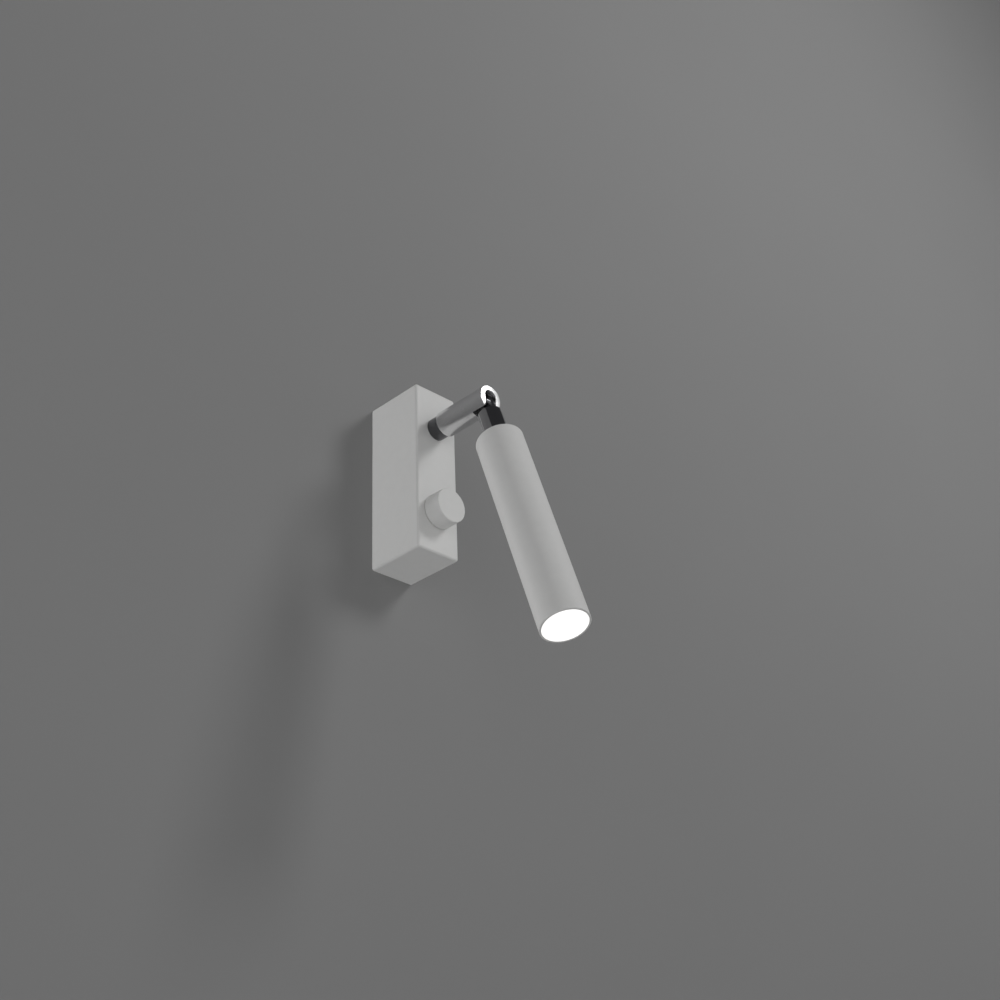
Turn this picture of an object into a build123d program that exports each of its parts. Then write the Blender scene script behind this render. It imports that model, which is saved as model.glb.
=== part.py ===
from build123d import *

import os
from math import cos, pi, radians, sin, tan

# Pivoting spotlight wall light, in millimetres.
#
# X runs along the wall, +Y into the wall and +Z up. The origin is the centre
# of the base's back face, midway between the two wall screws. A rectangular
# base carries a knob for the dimmer and a short arm. The arm turns about its
# own axis, and its forked end holds the knuckle of a tubular head, which
# tilts about a cross pin.

# ---------------------------------------------------------------- clearances
RUNNING_GAP = 0.05  # round a shaft that turns in its hole, and between faces that turn
FIT_GAP = 0.05  # round a screwed or pressed joint
LOOSE_GAP = 0.3  # round a piece that is dropped in
STACK_GAP = 1.0  # between neighbours inside the base that don't touch
OVERCUT = 1.0  # how far a cut runs on past the face that it opens
SAME_PLACE = 1e-6  # two places closer than this are the same
DRIVE_FLOOR_SHARE = 0.35  # share of a screw's head that is left below its drive

# ---------------------------------------------------------------- base casing
BASE_WIDTH = 30.0
BASE_DEPTH = 39.0
BASE_HEIGHT = 106.5
SIDE_WALL = 1.5
FRONT_WALL = 2.0
BASE_EDGE_RADIUS = 1.4
ARM_FROM_TOP = 26.05  # arm axis, below the casing's top face
KNOB_FROM_BOTTOM = 26.05  # knob axis, above the casing's bottom face

# ---------------------------------------------------------------- wall plate
PLATE_THICKNESS = 1.5
PLATE_CORNER_RADIUS = 1.0
WALL_SCREW_SPACING = 78.0
WALL_SLOT_WIDTH = 4.5
WALL_SLOT_LENGTH = 9.0
CABLE_HOLE_RADIUS = 5.5
DISH_RADIUS = 8.5  # inside radius of the raised dish round the cable hole
TAB_WIDTH = 14.0
TOP_TAB_LENGTH = 10.0
TAB_BOSS_RADIUS = 2.8
TAB_BOSS_DEPTH = 1.5
HOOK_LENGTH = 8.0
HOOK_THICKNESS = 1.2
HOOK_RIB_THICKNESS = 2.0
HOOK_RIB_HEIGHT = 1.5

# ---------------------------------------------------------------- cable grommet
GROMMET_BORE_RADIUS = 3.5
GROMMET_FLANGE_RADIUS = 7.4
GROMMET_FLANGE = 1.35  # thickness of each flange

# ---------------------------------------------------------------- casing screw
CASING_SCREW_RADIUS = 1.5
CASING_SCREW_HEAD_RADIUS = 2.75
CASING_SCREW_HEAD = 1.25
CASING_SCREW_LENGTH = 6.0
CASING_SCREW_DRIVE = 2.0

# ---------------------------------------------------------------- terminal block
POLE_PITCH = 7.6
POLES = 3
BLOCK_HEIGHT = 13.0
MAINS_CABLE_SPACE = 11.0  # kept free between the wall plate and the driver
CLAMP_RADIUS = 2.8
CLAMP_BORE_RADIUS = 1.6
CLAMP_LENGTH = 11.0
CLAMP_SCREW_RADIUS = 1.2
CLAMP_SCREW_HEAD_RADIUS = 1.45
CLAMP_SCREW_HEAD = 1.2
CLAMP_SCREW_SPACING = 6.4
CLAMP_SCREW_SLOT = 0.6
BLOCK_SCREW_RADIUS = 1.0
BLOCK_SCREW_HEAD_RADIUS = 1.7
BLOCK_SCREW_HEAD = 1.0

# ---------------------------------------------------------------- earth point
EARTH_STUD_RADIUS = 2.0
EARTH_STUD_LENGTH = 9.0
EARTH_STUD_COLLAR_RADIUS = 3.4
EARTH_STUD_COLLAR = 0.8
EARTH_NUT_FLATS = 7.0
EARTH_NUT_HEIGHT = 3.2
RING_TAG_RADIUS = 3.8
RING_TAG_THICKNESS = 0.8
RING_TAG_STRAP = 2.0  # length of strap between the ring and the barrel
RING_TAG_STRAP_WIDTH = 2.6
RING_TAG_STRAP_LAP = 1.0  # length of strap along the barrel
RING_TAG_BARREL_RADIUS = 1.6
RING_TAG_BARREL_LENGTH = 4.0

# ---------------------------------------------------------------- driver
DRIVER_PAD = 1.0
DRIVER_PAD_INSET = 1.2
DRIVER_WALL = 1.2
DRIVER_LID_RIM = 0.6
DRIVER_SIDE_SPACE = 2.0
DRIVER_RAIL = 1.5
DRIVER_BOARD_THICKNESS = 1.6
TRANSFORMER_WIDTH = 9.0
TRANSFORMER_HEIGHT = 8.0
TRANSFORMER_LENGTH = 11.0
TRANSFORMER_EDGE_RADIUS = 1.2
CAPACITOR_RADIUS = 2.75
CAPACITOR_HEIGHT = 10.0

# ---------------------------------------------------------------- leads
LEAD_RADIUS = 0.9
LAMP_LEAD_RADIUS = 0.6
LAMP_LEAD_SPREAD = 0.9  # from the pair's middle to each lamp lead
LEAD_HOLE_GAP = 0.15
LEAD_TAIL = 1.5  # length of a lead inside the driver case
SUPPLY_LEAD_DROP = 4.5  # below the terminal block, before the leads turn outwards
DIMMER_LEAD_PITCH = 2.7
DIMMER_LEAD_RUN = 3.6  # back from the dimmer, before the leads turn upwards
EARTH_LEAD_RUN = 3.6  # straight up into the ring tag's barrel
LAMP_LEAD_FROM_LID = 3.6
BEND_SHARE = 0.45  # share of the shorter run that a bend takes up

# ---------------------------------------------------------------- dimmer
DIMMER_RADIUS = 8.3
DIMMER_DEPTH = 12.0
DIMMER_BUSH_RADIUS = 3.5
DIMMER_BUSH_REACH = 4.2  # out from the casing's front face
DIMMER_SHAFT_RADIUS = 3.0
DIMMER_SHAFT_INNER = 7.0  # length of shaft inside the dimmer body
DIMMER_WASHER_RADIUS = 6.2
DIMMER_WASHER = 0.6
DIMMER_NUT_FLATS = 10.0
DIMMER_NUT_HEIGHT = 2.2

# ---------------------------------------------------------------- knob
KNOB_RADIUS = 10.35
KNOB_REACH = 11.4  # knob's front face, out from the casing's front face
KNOB_FACE_THICKNESS = 1.5
KNOB_HOLLOW_RADIUS = 8.2
KNOB_EDGE_RADIUS = 0.6
KNOB_REAR_CHAMFER = 0.3
SHAFT_FLAT = 1.5  # distance from the shaft's axis to its flat
KNOB_GRUB_RADIUS = 1.5
KNOB_GRUB_LENGTH = 7.0
KNOB_GRUB_DRIVE = 1.5

# ---------------------------------------------------------------- swivel
STUD_RADIUS = 5.0
STUD_BORE_RADIUS = 3.5
STUD_GRIP = 10.0  # length screwed into the arm
STUD_TAIL = 1.65  # length left past the nut
COLLAR_RADIUS = 6.75
COLLAR_LENGTH = 7.4
COLLAR_CHAMFER = 0.25
THRUST_WASHER_RADIUS = 6.3
THRUST_WASHER = 0.6
FRICTION_WASHER_RADIUS = 7.0
FRICTION_WASHER = 0.8
STOP_WASHER_RADIUS = 7.2
STOP_WASHER = 1.0
STOP_TONGUE_REACH = 9.6
STOP_TONGUE_WIDTH = 3.0
STOP_PIN_RADIUS = 1.0
STOP_PIN_CIRCLE = 8.5  # distance from the arm's axis to the pin
STOP_PIN_SEAT = 1.0
SWIVEL_NUT_FLATS = 14.0
SWIVEL_NUT_HEIGHT = 4.0

# ---------------------------------------------------------------- arm
ARM_RADIUS = 7.7
ARM_LENGTH = 37.25
ARM_REAR_CHAMFER = 0.4
ARM_FRONT_CHAMFER = 0.35
WIRE_BORE_RADIUS = 2.4
FORK_CHEEK = 3.4  # thickest part of the wall at each side of the fork's slot
FORK_LENGTH = 10.5
FORK_ROOF = 2.8  # wall left above the fork's arched slot
HINGE_FROM_END = 4.5

# ---------------------------------------------------------------- tilt joint
HINGE_PIN_RADIUS = 1.5
HINGE_HEAD_RADIUS = 2.75
HINGE_HEAD = 1.5
HINGE_HEAD_RECESS = 2.2  # from the arm's side to the seat of the screw's head
HINGE_HEAD_DRIVE = 2.0
HINGE_BLIND_SKIN = 1.0  # metal left outside the blind end of the pin's hole
TILT_BUSH_WALL = 0.6

# ---------------------------------------------------------------- knuckle
HEAD_ANGLE = 17.67  # degrees forward of straight down, at rest
TONGUE_GAP = 0.5  # between the tongue's round nose and the roof of the fork's slot
TONGUE_THICKNESS = 2.8
SHOULDER = 10.8  # from the hinge to the top of the neck
NECK_RADIUS = 7.0
NECK_CHAMFER = 0.7
NECK_LENGTH = 21.5
TAIL_RADIUS = 5.0
TAIL_LENGTH = 9.2
NECK_BORE_RADIUS = 3.2
NECK_ROOF = 3.0  # metal left between the neck's bore and its shoulder
SHOULDER_HOLE_PLACE = 2.4  # from the head's axis to each lead hole in the shoulder
HEAD_LOCK_WASHER = 0.8
HEAD_LOCK_WASHER_RADIUS = 8.5
HEAD_NUT_FLATS = 14.0
HEAD_NUT_HEIGHT = 4.0

# ---------------------------------------------------------------- head tube
TUBE_RADIUS = 13.5
TUBE_LENGTH = 131.6
TUBE_WALL = 1.5
TUBE_END_WALL = 3.0
TUBE_TOP_RADIUS = 1.2
TUBE_MOUTH_CHAMFER = 0.25
LENS_SEAT_WALL = 1.1  # tube wall beside the lens
LENS_THICKNESS = 2.6
LENS_RECESS = 0.1

# ---------------------------------------------------------------- lamp
HEAT_SINK_LENGTH = 20.0
FIN_COUNT = 10
FIN_SLOT_WIDTH = 1.6
FIN_SLOT_LENGTH = 14.0
FIN_ROOT_RADIUS = 6.6
BOARD_RADIUS = 10.5
BOARD_THICKNESS = 1.2
BOARD_SCREW_CIRCLE = 8.2
BOARD_SCREW_RADIUS = 1.0
BOARD_SCREW_LENGTH = 6.0
BOARD_SCREW_HEAD_RADIUS = 1.6
BOARD_SCREW_HEAD = 0.9
BOARD_SCREW_DRIVE = 0.9
CHIP_WIDTH = 10.0
CHIP_THICKNESS = 0.8
EMITTER_RADIUS = 3.4
EMITTER_THICKNESS = 0.3
REFLECTOR_HEIGHT = 13.2
REFLECTOR_WALL = 0.8
REFLECTOR_THROAT = 3.7
REFLECTOR_SIDE_GAP = 0.6  # between the reflector's mouth and the tube
REFLECTOR_FLANGE = 0.8
HEAD_LEAD_OFFSET = 8.3  # from the head's axis to the leads beside the lamp
HEAD_LEAD_DRAW_IN = 8.0  # length over which the leads come together in the neck
HEAD_LEAD_STRAIGHT = 40.0  # length of their run down the axis
HEAD_LEAD_LEAN = 38.0  # length over which they cross to the offset

# ---------------------------------------------------------------- places that follow
BASE_TOP = BASE_HEIGHT / 2
BASE_SIDE = BASE_WIDTH / 2
CAVITY_SIDE = BASE_SIDE - SIDE_WALL
CAVITY_TOP = BASE_TOP - SIDE_WALL
CAVITY_FRONT = -(BASE_DEPTH - FRONT_WALL)
ARM_HEIGHT = BASE_TOP - ARM_FROM_TOP
KNOB_HEIGHT = KNOB_FROM_BOTTOM - BASE_TOP

PLATE_SIDE = CAVITY_SIDE - LOOSE_GAP
PLATE_TOP = CAVITY_TOP - LOOSE_GAP
DISH_OUTER = DISH_RADIUS + PLATE_THICKNESS
DISH_FRONT = 2 * PLATE_THICKNESS
WALL_SLOT_HEIGHT = WALL_SCREW_SPACING / 2
CASING_SCREW_OUT = PLATE_THICKNESS + TOP_TAB_LENGTH / 2
HOOK_OUT = PLATE_THICKNESS + HOOK_LENGTH
HOOK_TOP = -PLATE_TOP + HOOK_RIB_HEIGHT + LOOSE_GAP
# Midway between the cable dish and the wall-screw slot
INNER_HEIGHT = (DISH_OUTER + WALL_SLOT_HEIGHT - WALL_SLOT_LENGTH / 2) / 2

DRIVER_BACK = PLATE_THICKNESS + MAINS_CABLE_SPACE
DRIVER_FRONT = -CAVITY_FRONT - DRIVER_PAD
DRIVER_SIDE = CAVITY_SIDE - DRIVER_SIDE_SPACE
DRIVER_TOP = ARM_HEIGHT - STOP_PIN_CIRCLE - STOP_PIN_RADIUS - STACK_GAP
DRIVER_BOTTOM = KNOB_HEIGHT + DIMMER_RADIUS + STACK_GAP
DRIVER_CENTRE = (DRIVER_TOP + DRIVER_BOTTOM) / 2
DRIVER_BOARD_BACK = DRIVER_FRONT - DRIVER_WALL - DRIVER_RAIL - DRIVER_BOARD_THICKNESS
DRIVER_LID_SEAT = DRIVER_BACK + DRIVER_WALL
DRIVER_PARTS_SIDE = DRIVER_SIDE - DRIVER_WALL - LOOSE_GAP

BLOCK_DEPTH = MAINS_CABLE_SPACE - STACK_GAP
BLOCK_CENTRE = -INNER_HEIGHT
POLE_OUT = PLATE_THICKNESS + BLOCK_DEPTH / 2
POLE_PLACES = [(pole - (POLES - 1) / 2) * POLE_PITCH for pole in range(POLES)]
SUPPLY_POLES = POLE_PLACES[:-1]
EARTH_POLE = POLE_PLACES[-1]
SUPPLY_LEAD_OUT = (DRIVER_BACK - CAVITY_FRONT - DIMMER_DEPTH) / 2
DIMMER_LEAD_PLACES = (EARTH_POLE - DIMMER_LEAD_PITCH, EARTH_POLE)
DIMMER_BACK = -(FRONT_WALL + DIMMER_DEPTH)
DIMMER_LEAD_OUT = BASE_DEPTH + DIMMER_BACK - DIMMER_LEAD_RUN
LAMP_LEAD_OUT = DRIVER_LID_SEAT + LAMP_LEAD_FROM_LID
LAMP_LEAD_HOLE = LAMP_LEAD_SPREAD + LAMP_LEAD_RADIUS + LEAD_HOLE_GAP

THRUST_WASHER_END = COLLAR_LENGTH + THRUST_WASHER
ARM_START = THRUST_WASHER_END + RUNNING_GAP
ARM_END = ARM_START + ARM_LENGTH
STUD_END = ARM_START + STUD_GRIP
FORK_START = ARM_END - FORK_LENGTH
FORK_SIDE = ARM_RADIUS - FORK_CHEEK
FORK_ARCH_RADIUS = ARM_RADIUS - FORK_ROOF
HINGE_OUT = ARM_END - HINGE_FROM_END
STOP_WASHER_FRONT = -(FRONT_WALL + FRICTION_WASHER + RUNNING_GAP)
STOP_WASHER_BACK = STOP_WASHER_FRONT - STOP_WASHER
SWIVEL_NUT_BACK = STOP_WASHER_BACK - SWIVEL_NUT_HEIGHT
STUD_BACK = SWIVEL_NUT_BACK - STUD_TAIL
LEAD_MEETING = (STUD_BACK + ARM_START) / 2

TILT_BUSH_BORE = HINGE_PIN_RADIUS + FIT_GAP
BUSH_START = TONGUE_THICKNESS / 2 + RUNNING_GAP
TONGUE_RADIUS = FORK_ARCH_RADIUS - TONGUE_GAP
NECK_BORE_TOP = SHOULDER + NECK_ROOF
NECK_END = SHOULDER + NECK_LENGTH
TUBE_INSIDE = NECK_END + TUBE_END_WALL
HEAD_NUT_START = TUBE_INSIDE + HEAD_LOCK_WASHER
TUBE_END = NECK_END + TUBE_LENGTH
TUBE_BORE = TUBE_RADIUS - TUBE_WALL
LENS_RADIUS = TUBE_RADIUS - LENS_SEAT_WALL - FIT_GAP
LENS_SEAT = TUBE_END - LENS_THICKNESS - LENS_RECESS
REFLECTOR_MOUTH = TUBE_BORE - REFLECTOR_SIDE_GAP - REFLECTOR_WALL
CHIP_FRONT = LENS_SEAT - REFLECTOR_HEIGHT
BOARD_FRONT = CHIP_FRONT - CHIP_THICKNESS
BOARD_BACK = BOARD_FRONT - BOARD_THICKNESS
HEAT_SINK_BACK = BOARD_BACK - HEAT_SINK_LENGTH


# ---------------------------------------------------------------- frames
def facing_out(height, out):
    """Frame whose Z points out of the wall, at this height and distance out from the wall."""
    return Plane(origin=(0, -out, height), x_dir=(1, 0, 0), z_dir=(0, -1, 0))


WALL = facing_out(0, 0)
KNOB_AXIS = facing_out(KNOB_HEIGHT, BASE_DEPTH)
ARM_AXIS = facing_out(ARM_HEIGHT, BASE_DEPTH)
HINGE_POINT = (0, -(BASE_DEPTH + HINGE_OUT), ARM_HEIGHT)
HINGE_AXIS = Plane(origin=HINGE_POINT, x_dir=(0, 1, 0), z_dir=(1, 0, 0))
HEAD_DIRECTION = (0, -sin(radians(HEAD_ANGLE)), -cos(radians(HEAD_ANGLE)))
HEAD_AXIS = Plane(origin=HINGE_POINT, x_dir=(1, 0, 0), z_dir=HEAD_DIRECTION)


# ---------------------------------------------------------------- shapes used often
def rod(radius, start, end):
    """Round bar along Z."""
    return Pos(0, 0, (start + end) / 2) * Cylinder(radius, end - start)


def ring(outer, inner, start, end):
    """Round bar along Z with a hole through it."""
    return rod(outer, start, end) - rod(inner, start, end)


def slab(x_range, y_range, z_range):
    """Box between two places on each axis."""
    sizes = [high - low for low, high in (x_range, y_range, z_range)]
    middle = [(low + high) / 2 for low, high in (x_range, y_range, z_range)]
    return Pos(*middle) * Box(*sizes)


def hexagon(flats, start, end):
    """Six-sided bar along Z, of this width across its flats."""
    outline = RegularPolygon(flats / 2, 6, major_radius=False)
    return Pos(0, 0, start) * extrude(outline, end - start)


def hex_nut(flats, bore, start, end):
    """Nut along Z."""
    return hexagon(flats, start, end) - rod(bore, start, end)


def headed_screw(shank, length, head, head_height, drive):
    """Screw along Z: its head stands on Z = 0 and its shank points down."""
    body = rod(shank, -length, 0) + rod(head, 0, head_height)
    return body - hexagon(drive, head_height * DRIVE_FLOOR_SHARE, head_height)


def rim_at(shape, place):
    """Outer edge of a turned piece where it ends at this place along Z."""
    edges = [edge for edge in shape.edges() if abs(edge.center().Z - place) < SAME_PLACE]
    return max(edges, key=lambda edge: edge.length)


def round_rim(shape, place, radius):
    """Rounds a turned piece's rim at this place along Z."""
    return fillet([rim_at(shape, place)], radius)


def bevel_rim(shape, place, width):
    """Bevels a turned piece's rim at this place along Z."""
    return chamfer([rim_at(shape, place)], width)


def bend_radii(points):
    """Largest radius that the two runs at each corner leave room for."""
    spots = [Vector(*point) for point in points]
    radii = []
    for before, corner, after in zip(spots, spots[1:], spots[2:]):
        run_in = corner - before
        run_out = after - corner
        half_turn = radians(run_in.get_angle(run_out)) / 2
        radii.append(BEND_SHARE * min(run_in.length, run_out.length) / tan(half_turn))
    return radii


def lead(name, points, radius):
    """Insulated lead along straight runs joined by round bends."""
    radii = bend_radii(points)
    path = FilletPolyline(*points, radius=radii)
    section = Plane(origin=path @ 0, z_dir=path % 0) * Circle(radius)
    solid = sweep(section, path=path)
    share = solid.volume / (pi * radius**2 * path.length)
    bends = ", ".join(f"{bend:.1f}" for bend in radii)
    print(f"{name}: length {path.length:.1f}, bend radii {bends}, volume share {share:.4f}")
    return solid


# ---------------------------------------------------------------- base
def casing_screw_shape(gap):
    """Countersunk screw from its face at Z = 0 down, or its hole when a gap is given."""
    head_radius = CASING_SCREW_HEAD_RADIUS + gap
    shank_radius = CASING_SCREW_RADIUS + gap
    head = Cone(shank_radius, head_radius, CASING_SCREW_HEAD)
    shank = rod(shank_radius, -CASING_SCREW_LENGTH, -CASING_SCREW_HEAD)
    return Pos(0, 0, -CASING_SCREW_HEAD / 2) * head + shank


def casing_screw_place():
    """Where the casing screw's face lies in the casing's top."""
    return Pos(0, -CASING_SCREW_OUT, BASE_TOP)


def make_base_housing():
    """Rectangular shell, open at the wall, with holes for the arm, the dimmer and its screw."""
    outside = slab((-BASE_SIDE, BASE_SIDE), (-BASE_DEPTH, 0), (-BASE_TOP, BASE_TOP))
    wall_edges = outside.edges().filter_by_position(Axis.Y, -SAME_PLACE, SAME_PLACE)
    outside = fillet(outside.edges() - wall_edges, BASE_EDGE_RADIUS)
    cavity_depth = (CAVITY_FRONT, OVERCUT)
    cavity = slab((-CAVITY_SIDE, CAVITY_SIDE), cavity_depth, (-CAVITY_TOP, CAVITY_TOP))
    shell = outside - cavity
    rib_front = -(HOOK_OUT - HOOK_THICKNESS - LOOSE_GAP)
    shell += slab(
        (-TAB_WIDTH / 2, TAB_WIDTH / 2),
        (rib_front, rib_front + HOOK_RIB_THICKNESS),
        (-CAVITY_TOP, -CAVITY_TOP + HOOK_RIB_HEIGHT),
    )
    shell -= ARM_AXIS * rod(STUD_RADIUS + RUNNING_GAP, -FRONT_WALL, OVERCUT)
    stop_pin_hole = rod(STOP_PIN_RADIUS + FIT_GAP, -FRONT_WALL, -FRONT_WALL + STOP_PIN_SEAT)
    shell -= ARM_AXIS * Pos(0, -STOP_PIN_CIRCLE, 0) * stop_pin_hole
    shell -= KNOB_AXIS * rod(DIMMER_BUSH_RADIUS + FIT_GAP, -FRONT_WALL, OVERCUT)
    shell -= casing_screw_place() * casing_screw_shape(FIT_GAP)
    return shell


def make_housing_screw():
    """Countersunk screw in the casing's top."""
    socket = hexagon(CASING_SCREW_DRIVE, -CASING_SCREW_HEAD, 0)
    return casing_screw_place() * (casing_screw_shape(0) - socket)


def make_wall_plate():
    """Flat plate with wall-screw slots, a dished cable hole, a top tab and a bottom hook."""
    outline = RectangleRounded(2 * PLATE_SIDE, 2 * PLATE_TOP, PLATE_CORNER_RADIUS)
    plate = extrude(outline, PLATE_THICKNESS) + rod(DISH_OUTER, 0, DISH_FRONT)
    plate -= rod(DISH_RADIUS, 0, PLATE_THICKNESS)
    plate -= rod(CABLE_HOLE_RADIUS, 0, DISH_FRONT)
    slot = extrude(SlotOverall(WALL_SLOT_LENGTH, WALL_SLOT_WIDTH, rotation=90), PLATE_THICKNESS)
    for side in (-1, 1):
        plate -= Pos(0, side * WALL_SLOT_HEIGHT, 0) * slot
    block_screw_hole = rod(BLOCK_SCREW_RADIUS + FIT_GAP, 0, PLATE_THICKNESS)
    plate -= Pos(POLE_PITCH / 2, BLOCK_CENTRE, 0) * block_screw_hole
    plate -= Pos(EARTH_POLE, INNER_HEIGHT, 0) * rod(EARTH_STUD_RADIUS + FIT_GAP, 0, PLATE_THICKNESS)
    plate = WALL * plate

    tab_side = (-TAB_WIDTH / 2, TAB_WIDTH / 2)
    tab_bottom = PLATE_TOP - PLATE_THICKNESS
    boss_bottom = tab_bottom - TAB_BOSS_DEPTH
    plate += slab(tab_side, (-(PLATE_THICKNESS + TOP_TAB_LENGTH), 0), (tab_bottom, PLATE_TOP))
    plate += Pos(0, -CASING_SCREW_OUT, 0) * rod(TAB_BOSS_RADIUS, boss_bottom, PLATE_TOP)
    screw_hole = rod(CASING_SCREW_RADIUS + FIT_GAP, boss_bottom, PLATE_TOP)
    plate -= Pos(0, -CASING_SCREW_OUT, 0) * screw_hole
    plate += slab(tab_side, (-HOOK_OUT, 0), (HOOK_TOP, HOOK_TOP + HOOK_THICKNESS))
    hook_lip = (-HOOK_OUT, -HOOK_OUT + HOOK_THICKNESS)
    plate += slab(tab_side, hook_lip, (-PLATE_TOP, HOOK_TOP + HOOK_THICKNESS))
    return plate


def make_cable_grommet():
    """Rubber bush that lines the cable hole."""
    rear = rod(GROMMET_FLANGE_RADIUS, PLATE_THICKNESS - GROMMET_FLANGE, PLATE_THICKNESS)
    neck = rod(CABLE_HOLE_RADIUS - FIT_GAP, PLATE_THICKNESS, DISH_FRONT)
    front = rod(GROMMET_FLANGE_RADIUS, DISH_FRONT, DISH_FRONT + GROMMET_FLANGE)
    bore = rod(GROMMET_BORE_RADIUS, 0, DISH_FRONT + GROMMET_FLANGE)
    return WALL * (rear + neck + front - bore)


def clamp_screw_heights():
    """Heights of the two screws of each pole."""
    return [BLOCK_CENTRE + side * CLAMP_SCREW_SPACING / 2 for side in (-1, 1)]


def pole_bar(radius, place, length):
    """Round bar up the middle of a pole."""
    bar = rod(radius, BLOCK_CENTRE - length / 2, BLOCK_CENTRE + length / 2)
    return Pos(place, -POLE_OUT, 0) * bar


def make_terminal_block():
    """Moulded block with a channel for each pole and wells for the screws."""
    side = POLES * POLE_PITCH / 2
    front = PLATE_THICKNESS + BLOCK_DEPTH
    z_range = (BLOCK_CENTRE - BLOCK_HEIGHT / 2, BLOCK_CENTRE + BLOCK_HEIGHT / 2)
    block = slab((-side, side), (-front, -PLATE_THICKNESS), z_range)
    well = rod(CLAMP_SCREW_HEAD_RADIUS + FIT_GAP, POLE_OUT, front)
    for place in POLE_PLACES:
        block -= pole_bar(CLAMP_RADIUS + FIT_GAP, place, BLOCK_HEIGHT)
        for height in clamp_screw_heights():
            block -= WALL * Pos(place, height, 0) * well
    screw_hole = rod(BLOCK_SCREW_RADIUS + FIT_GAP, PLATE_THICKNESS, front)
    screw_well = rod(BLOCK_SCREW_HEAD_RADIUS + FIT_GAP, front - BLOCK_SCREW_HEAD, front)
    return block - WALL * Pos(POLE_PITCH / 2, BLOCK_CENTRE, 0) * (screw_hole + screw_well)


def make_terminal_clamps():
    """One brass tube in each pole, with two threaded holes."""
    clamps = []
    screw_hole = rod(CLAMP_SCREW_RADIUS + FIT_GAP, POLE_OUT, POLE_OUT + 2 * CLAMP_RADIUS)
    for place in POLE_PLACES:
        clamp = pole_bar(CLAMP_RADIUS, place, CLAMP_LENGTH)
        clamp -= pole_bar(CLAMP_BORE_RADIUS, place, CLAMP_LENGTH)
        for height in clamp_screw_heights():
            clamp -= WALL * Pos(place, height, 0) * screw_hole
        clamps.append(clamp)
    return clamps


def make_terminal_screws():
    """Two screws for each clamp, down on the leads."""
    head_seat = POLE_OUT + CLAMP_RADIUS
    tip = POLE_OUT + LEAD_RADIUS
    screw = rod(CLAMP_SCREW_RADIUS, tip, head_seat)
    screw += rod(CLAMP_SCREW_HEAD_RADIUS, head_seat, head_seat + CLAMP_SCREW_HEAD)
    driver_slot = (-CLAMP_SCREW_SLOT / 2, CLAMP_SCREW_SLOT / 2)
    across = (-CLAMP_SCREW_HEAD_RADIUS, CLAMP_SCREW_HEAD_RADIUS)
    depth = (head_seat + CLAMP_SCREW_HEAD / 2, head_seat + CLAMP_SCREW_HEAD)
    screw -= slab(across, driver_slot, depth)
    places = [(place, height) for place in POLE_PLACES for height in clamp_screw_heights()]
    return [WALL * Pos(place, height, 0) * screw for place, height in places]


def make_terminal_block_screw():
    """Screw that holds the terminal block to the wall plate."""
    head_seat = PLATE_THICKNESS + BLOCK_DEPTH - BLOCK_SCREW_HEAD
    length = head_seat - LOOSE_GAP
    screw = headed_screw(
        BLOCK_SCREW_RADIUS, length, BLOCK_SCREW_HEAD_RADIUS, BLOCK_SCREW_HEAD, BLOCK_SCREW_RADIUS
    )
    return WALL * Pos(POLE_PITCH / 2, BLOCK_CENTRE, head_seat) * screw


def at_earth_point(shape):
    """Puts a piece on the earth stud's axis."""
    return WALL * Pos(EARTH_POLE, INNER_HEIGHT, 0) * shape


def make_earth_stud():
    """Stud pressed into the wall plate."""
    stud = rod(EARTH_STUD_RADIUS, 0, EARTH_STUD_LENGTH)
    collar_end = PLATE_THICKNESS + EARTH_STUD_COLLAR
    return at_earth_point(stud + rod(EARTH_STUD_COLLAR_RADIUS, PLATE_THICKNESS, collar_end))


def make_earth_nut():
    """Nut on the ring tag."""
    start = PLATE_THICKNESS + EARTH_STUD_COLLAR + RING_TAG_THICKNESS
    bore = EARTH_STUD_RADIUS + FIT_GAP
    return at_earth_point(hex_nut(EARTH_NUT_FLATS, bore, start, start + EARTH_NUT_HEIGHT))


def ring_tag_barrel_out():
    """Distance out from the wall to the middle of the ring tag's barrel."""
    return PLATE_THICKNESS + EARTH_STUD_COLLAR + RING_TAG_BARREL_RADIUS


def ring_tag_barrel_top():
    """Height of the barrel's upper end below the stud's axis."""
    return RING_TAG_RADIUS + RING_TAG_STRAP


def make_earth_ring_tag():
    """Ring with a strap and a crimped barrel for the lead."""
    start = PLATE_THICKNESS + EARTH_STUD_COLLAR
    end = start + RING_TAG_THICKNESS
    strap_side = RING_TAG_STRAP_WIDTH / 2
    strap_bottom = -(ring_tag_barrel_top() + RING_TAG_STRAP_LAP)
    tag = rod(RING_TAG_RADIUS, start, end)
    tag += slab((-strap_side, strap_side), (strap_bottom, 0), (start, end))
    tag -= rod(EARTH_STUD_RADIUS + FIT_GAP, start, end)
    barrel_bottom = -(ring_tag_barrel_top() + RING_TAG_BARREL_LENGTH)
    barrel = Cylinder(RING_TAG_BARREL_RADIUS, RING_TAG_BARREL_LENGTH, rotation=(90, 0, 0))
    bore = Cylinder(LEAD_RADIUS + FIT_GAP, 2 * RING_TAG_BARREL_LENGTH, rotation=(90, 0, 0))
    middle = Pos(0, barrel_bottom + RING_TAG_BARREL_LENGTH / 2, ring_tag_barrel_out())
    return at_earth_point(tag + middle * barrel - middle * bore)


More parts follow.
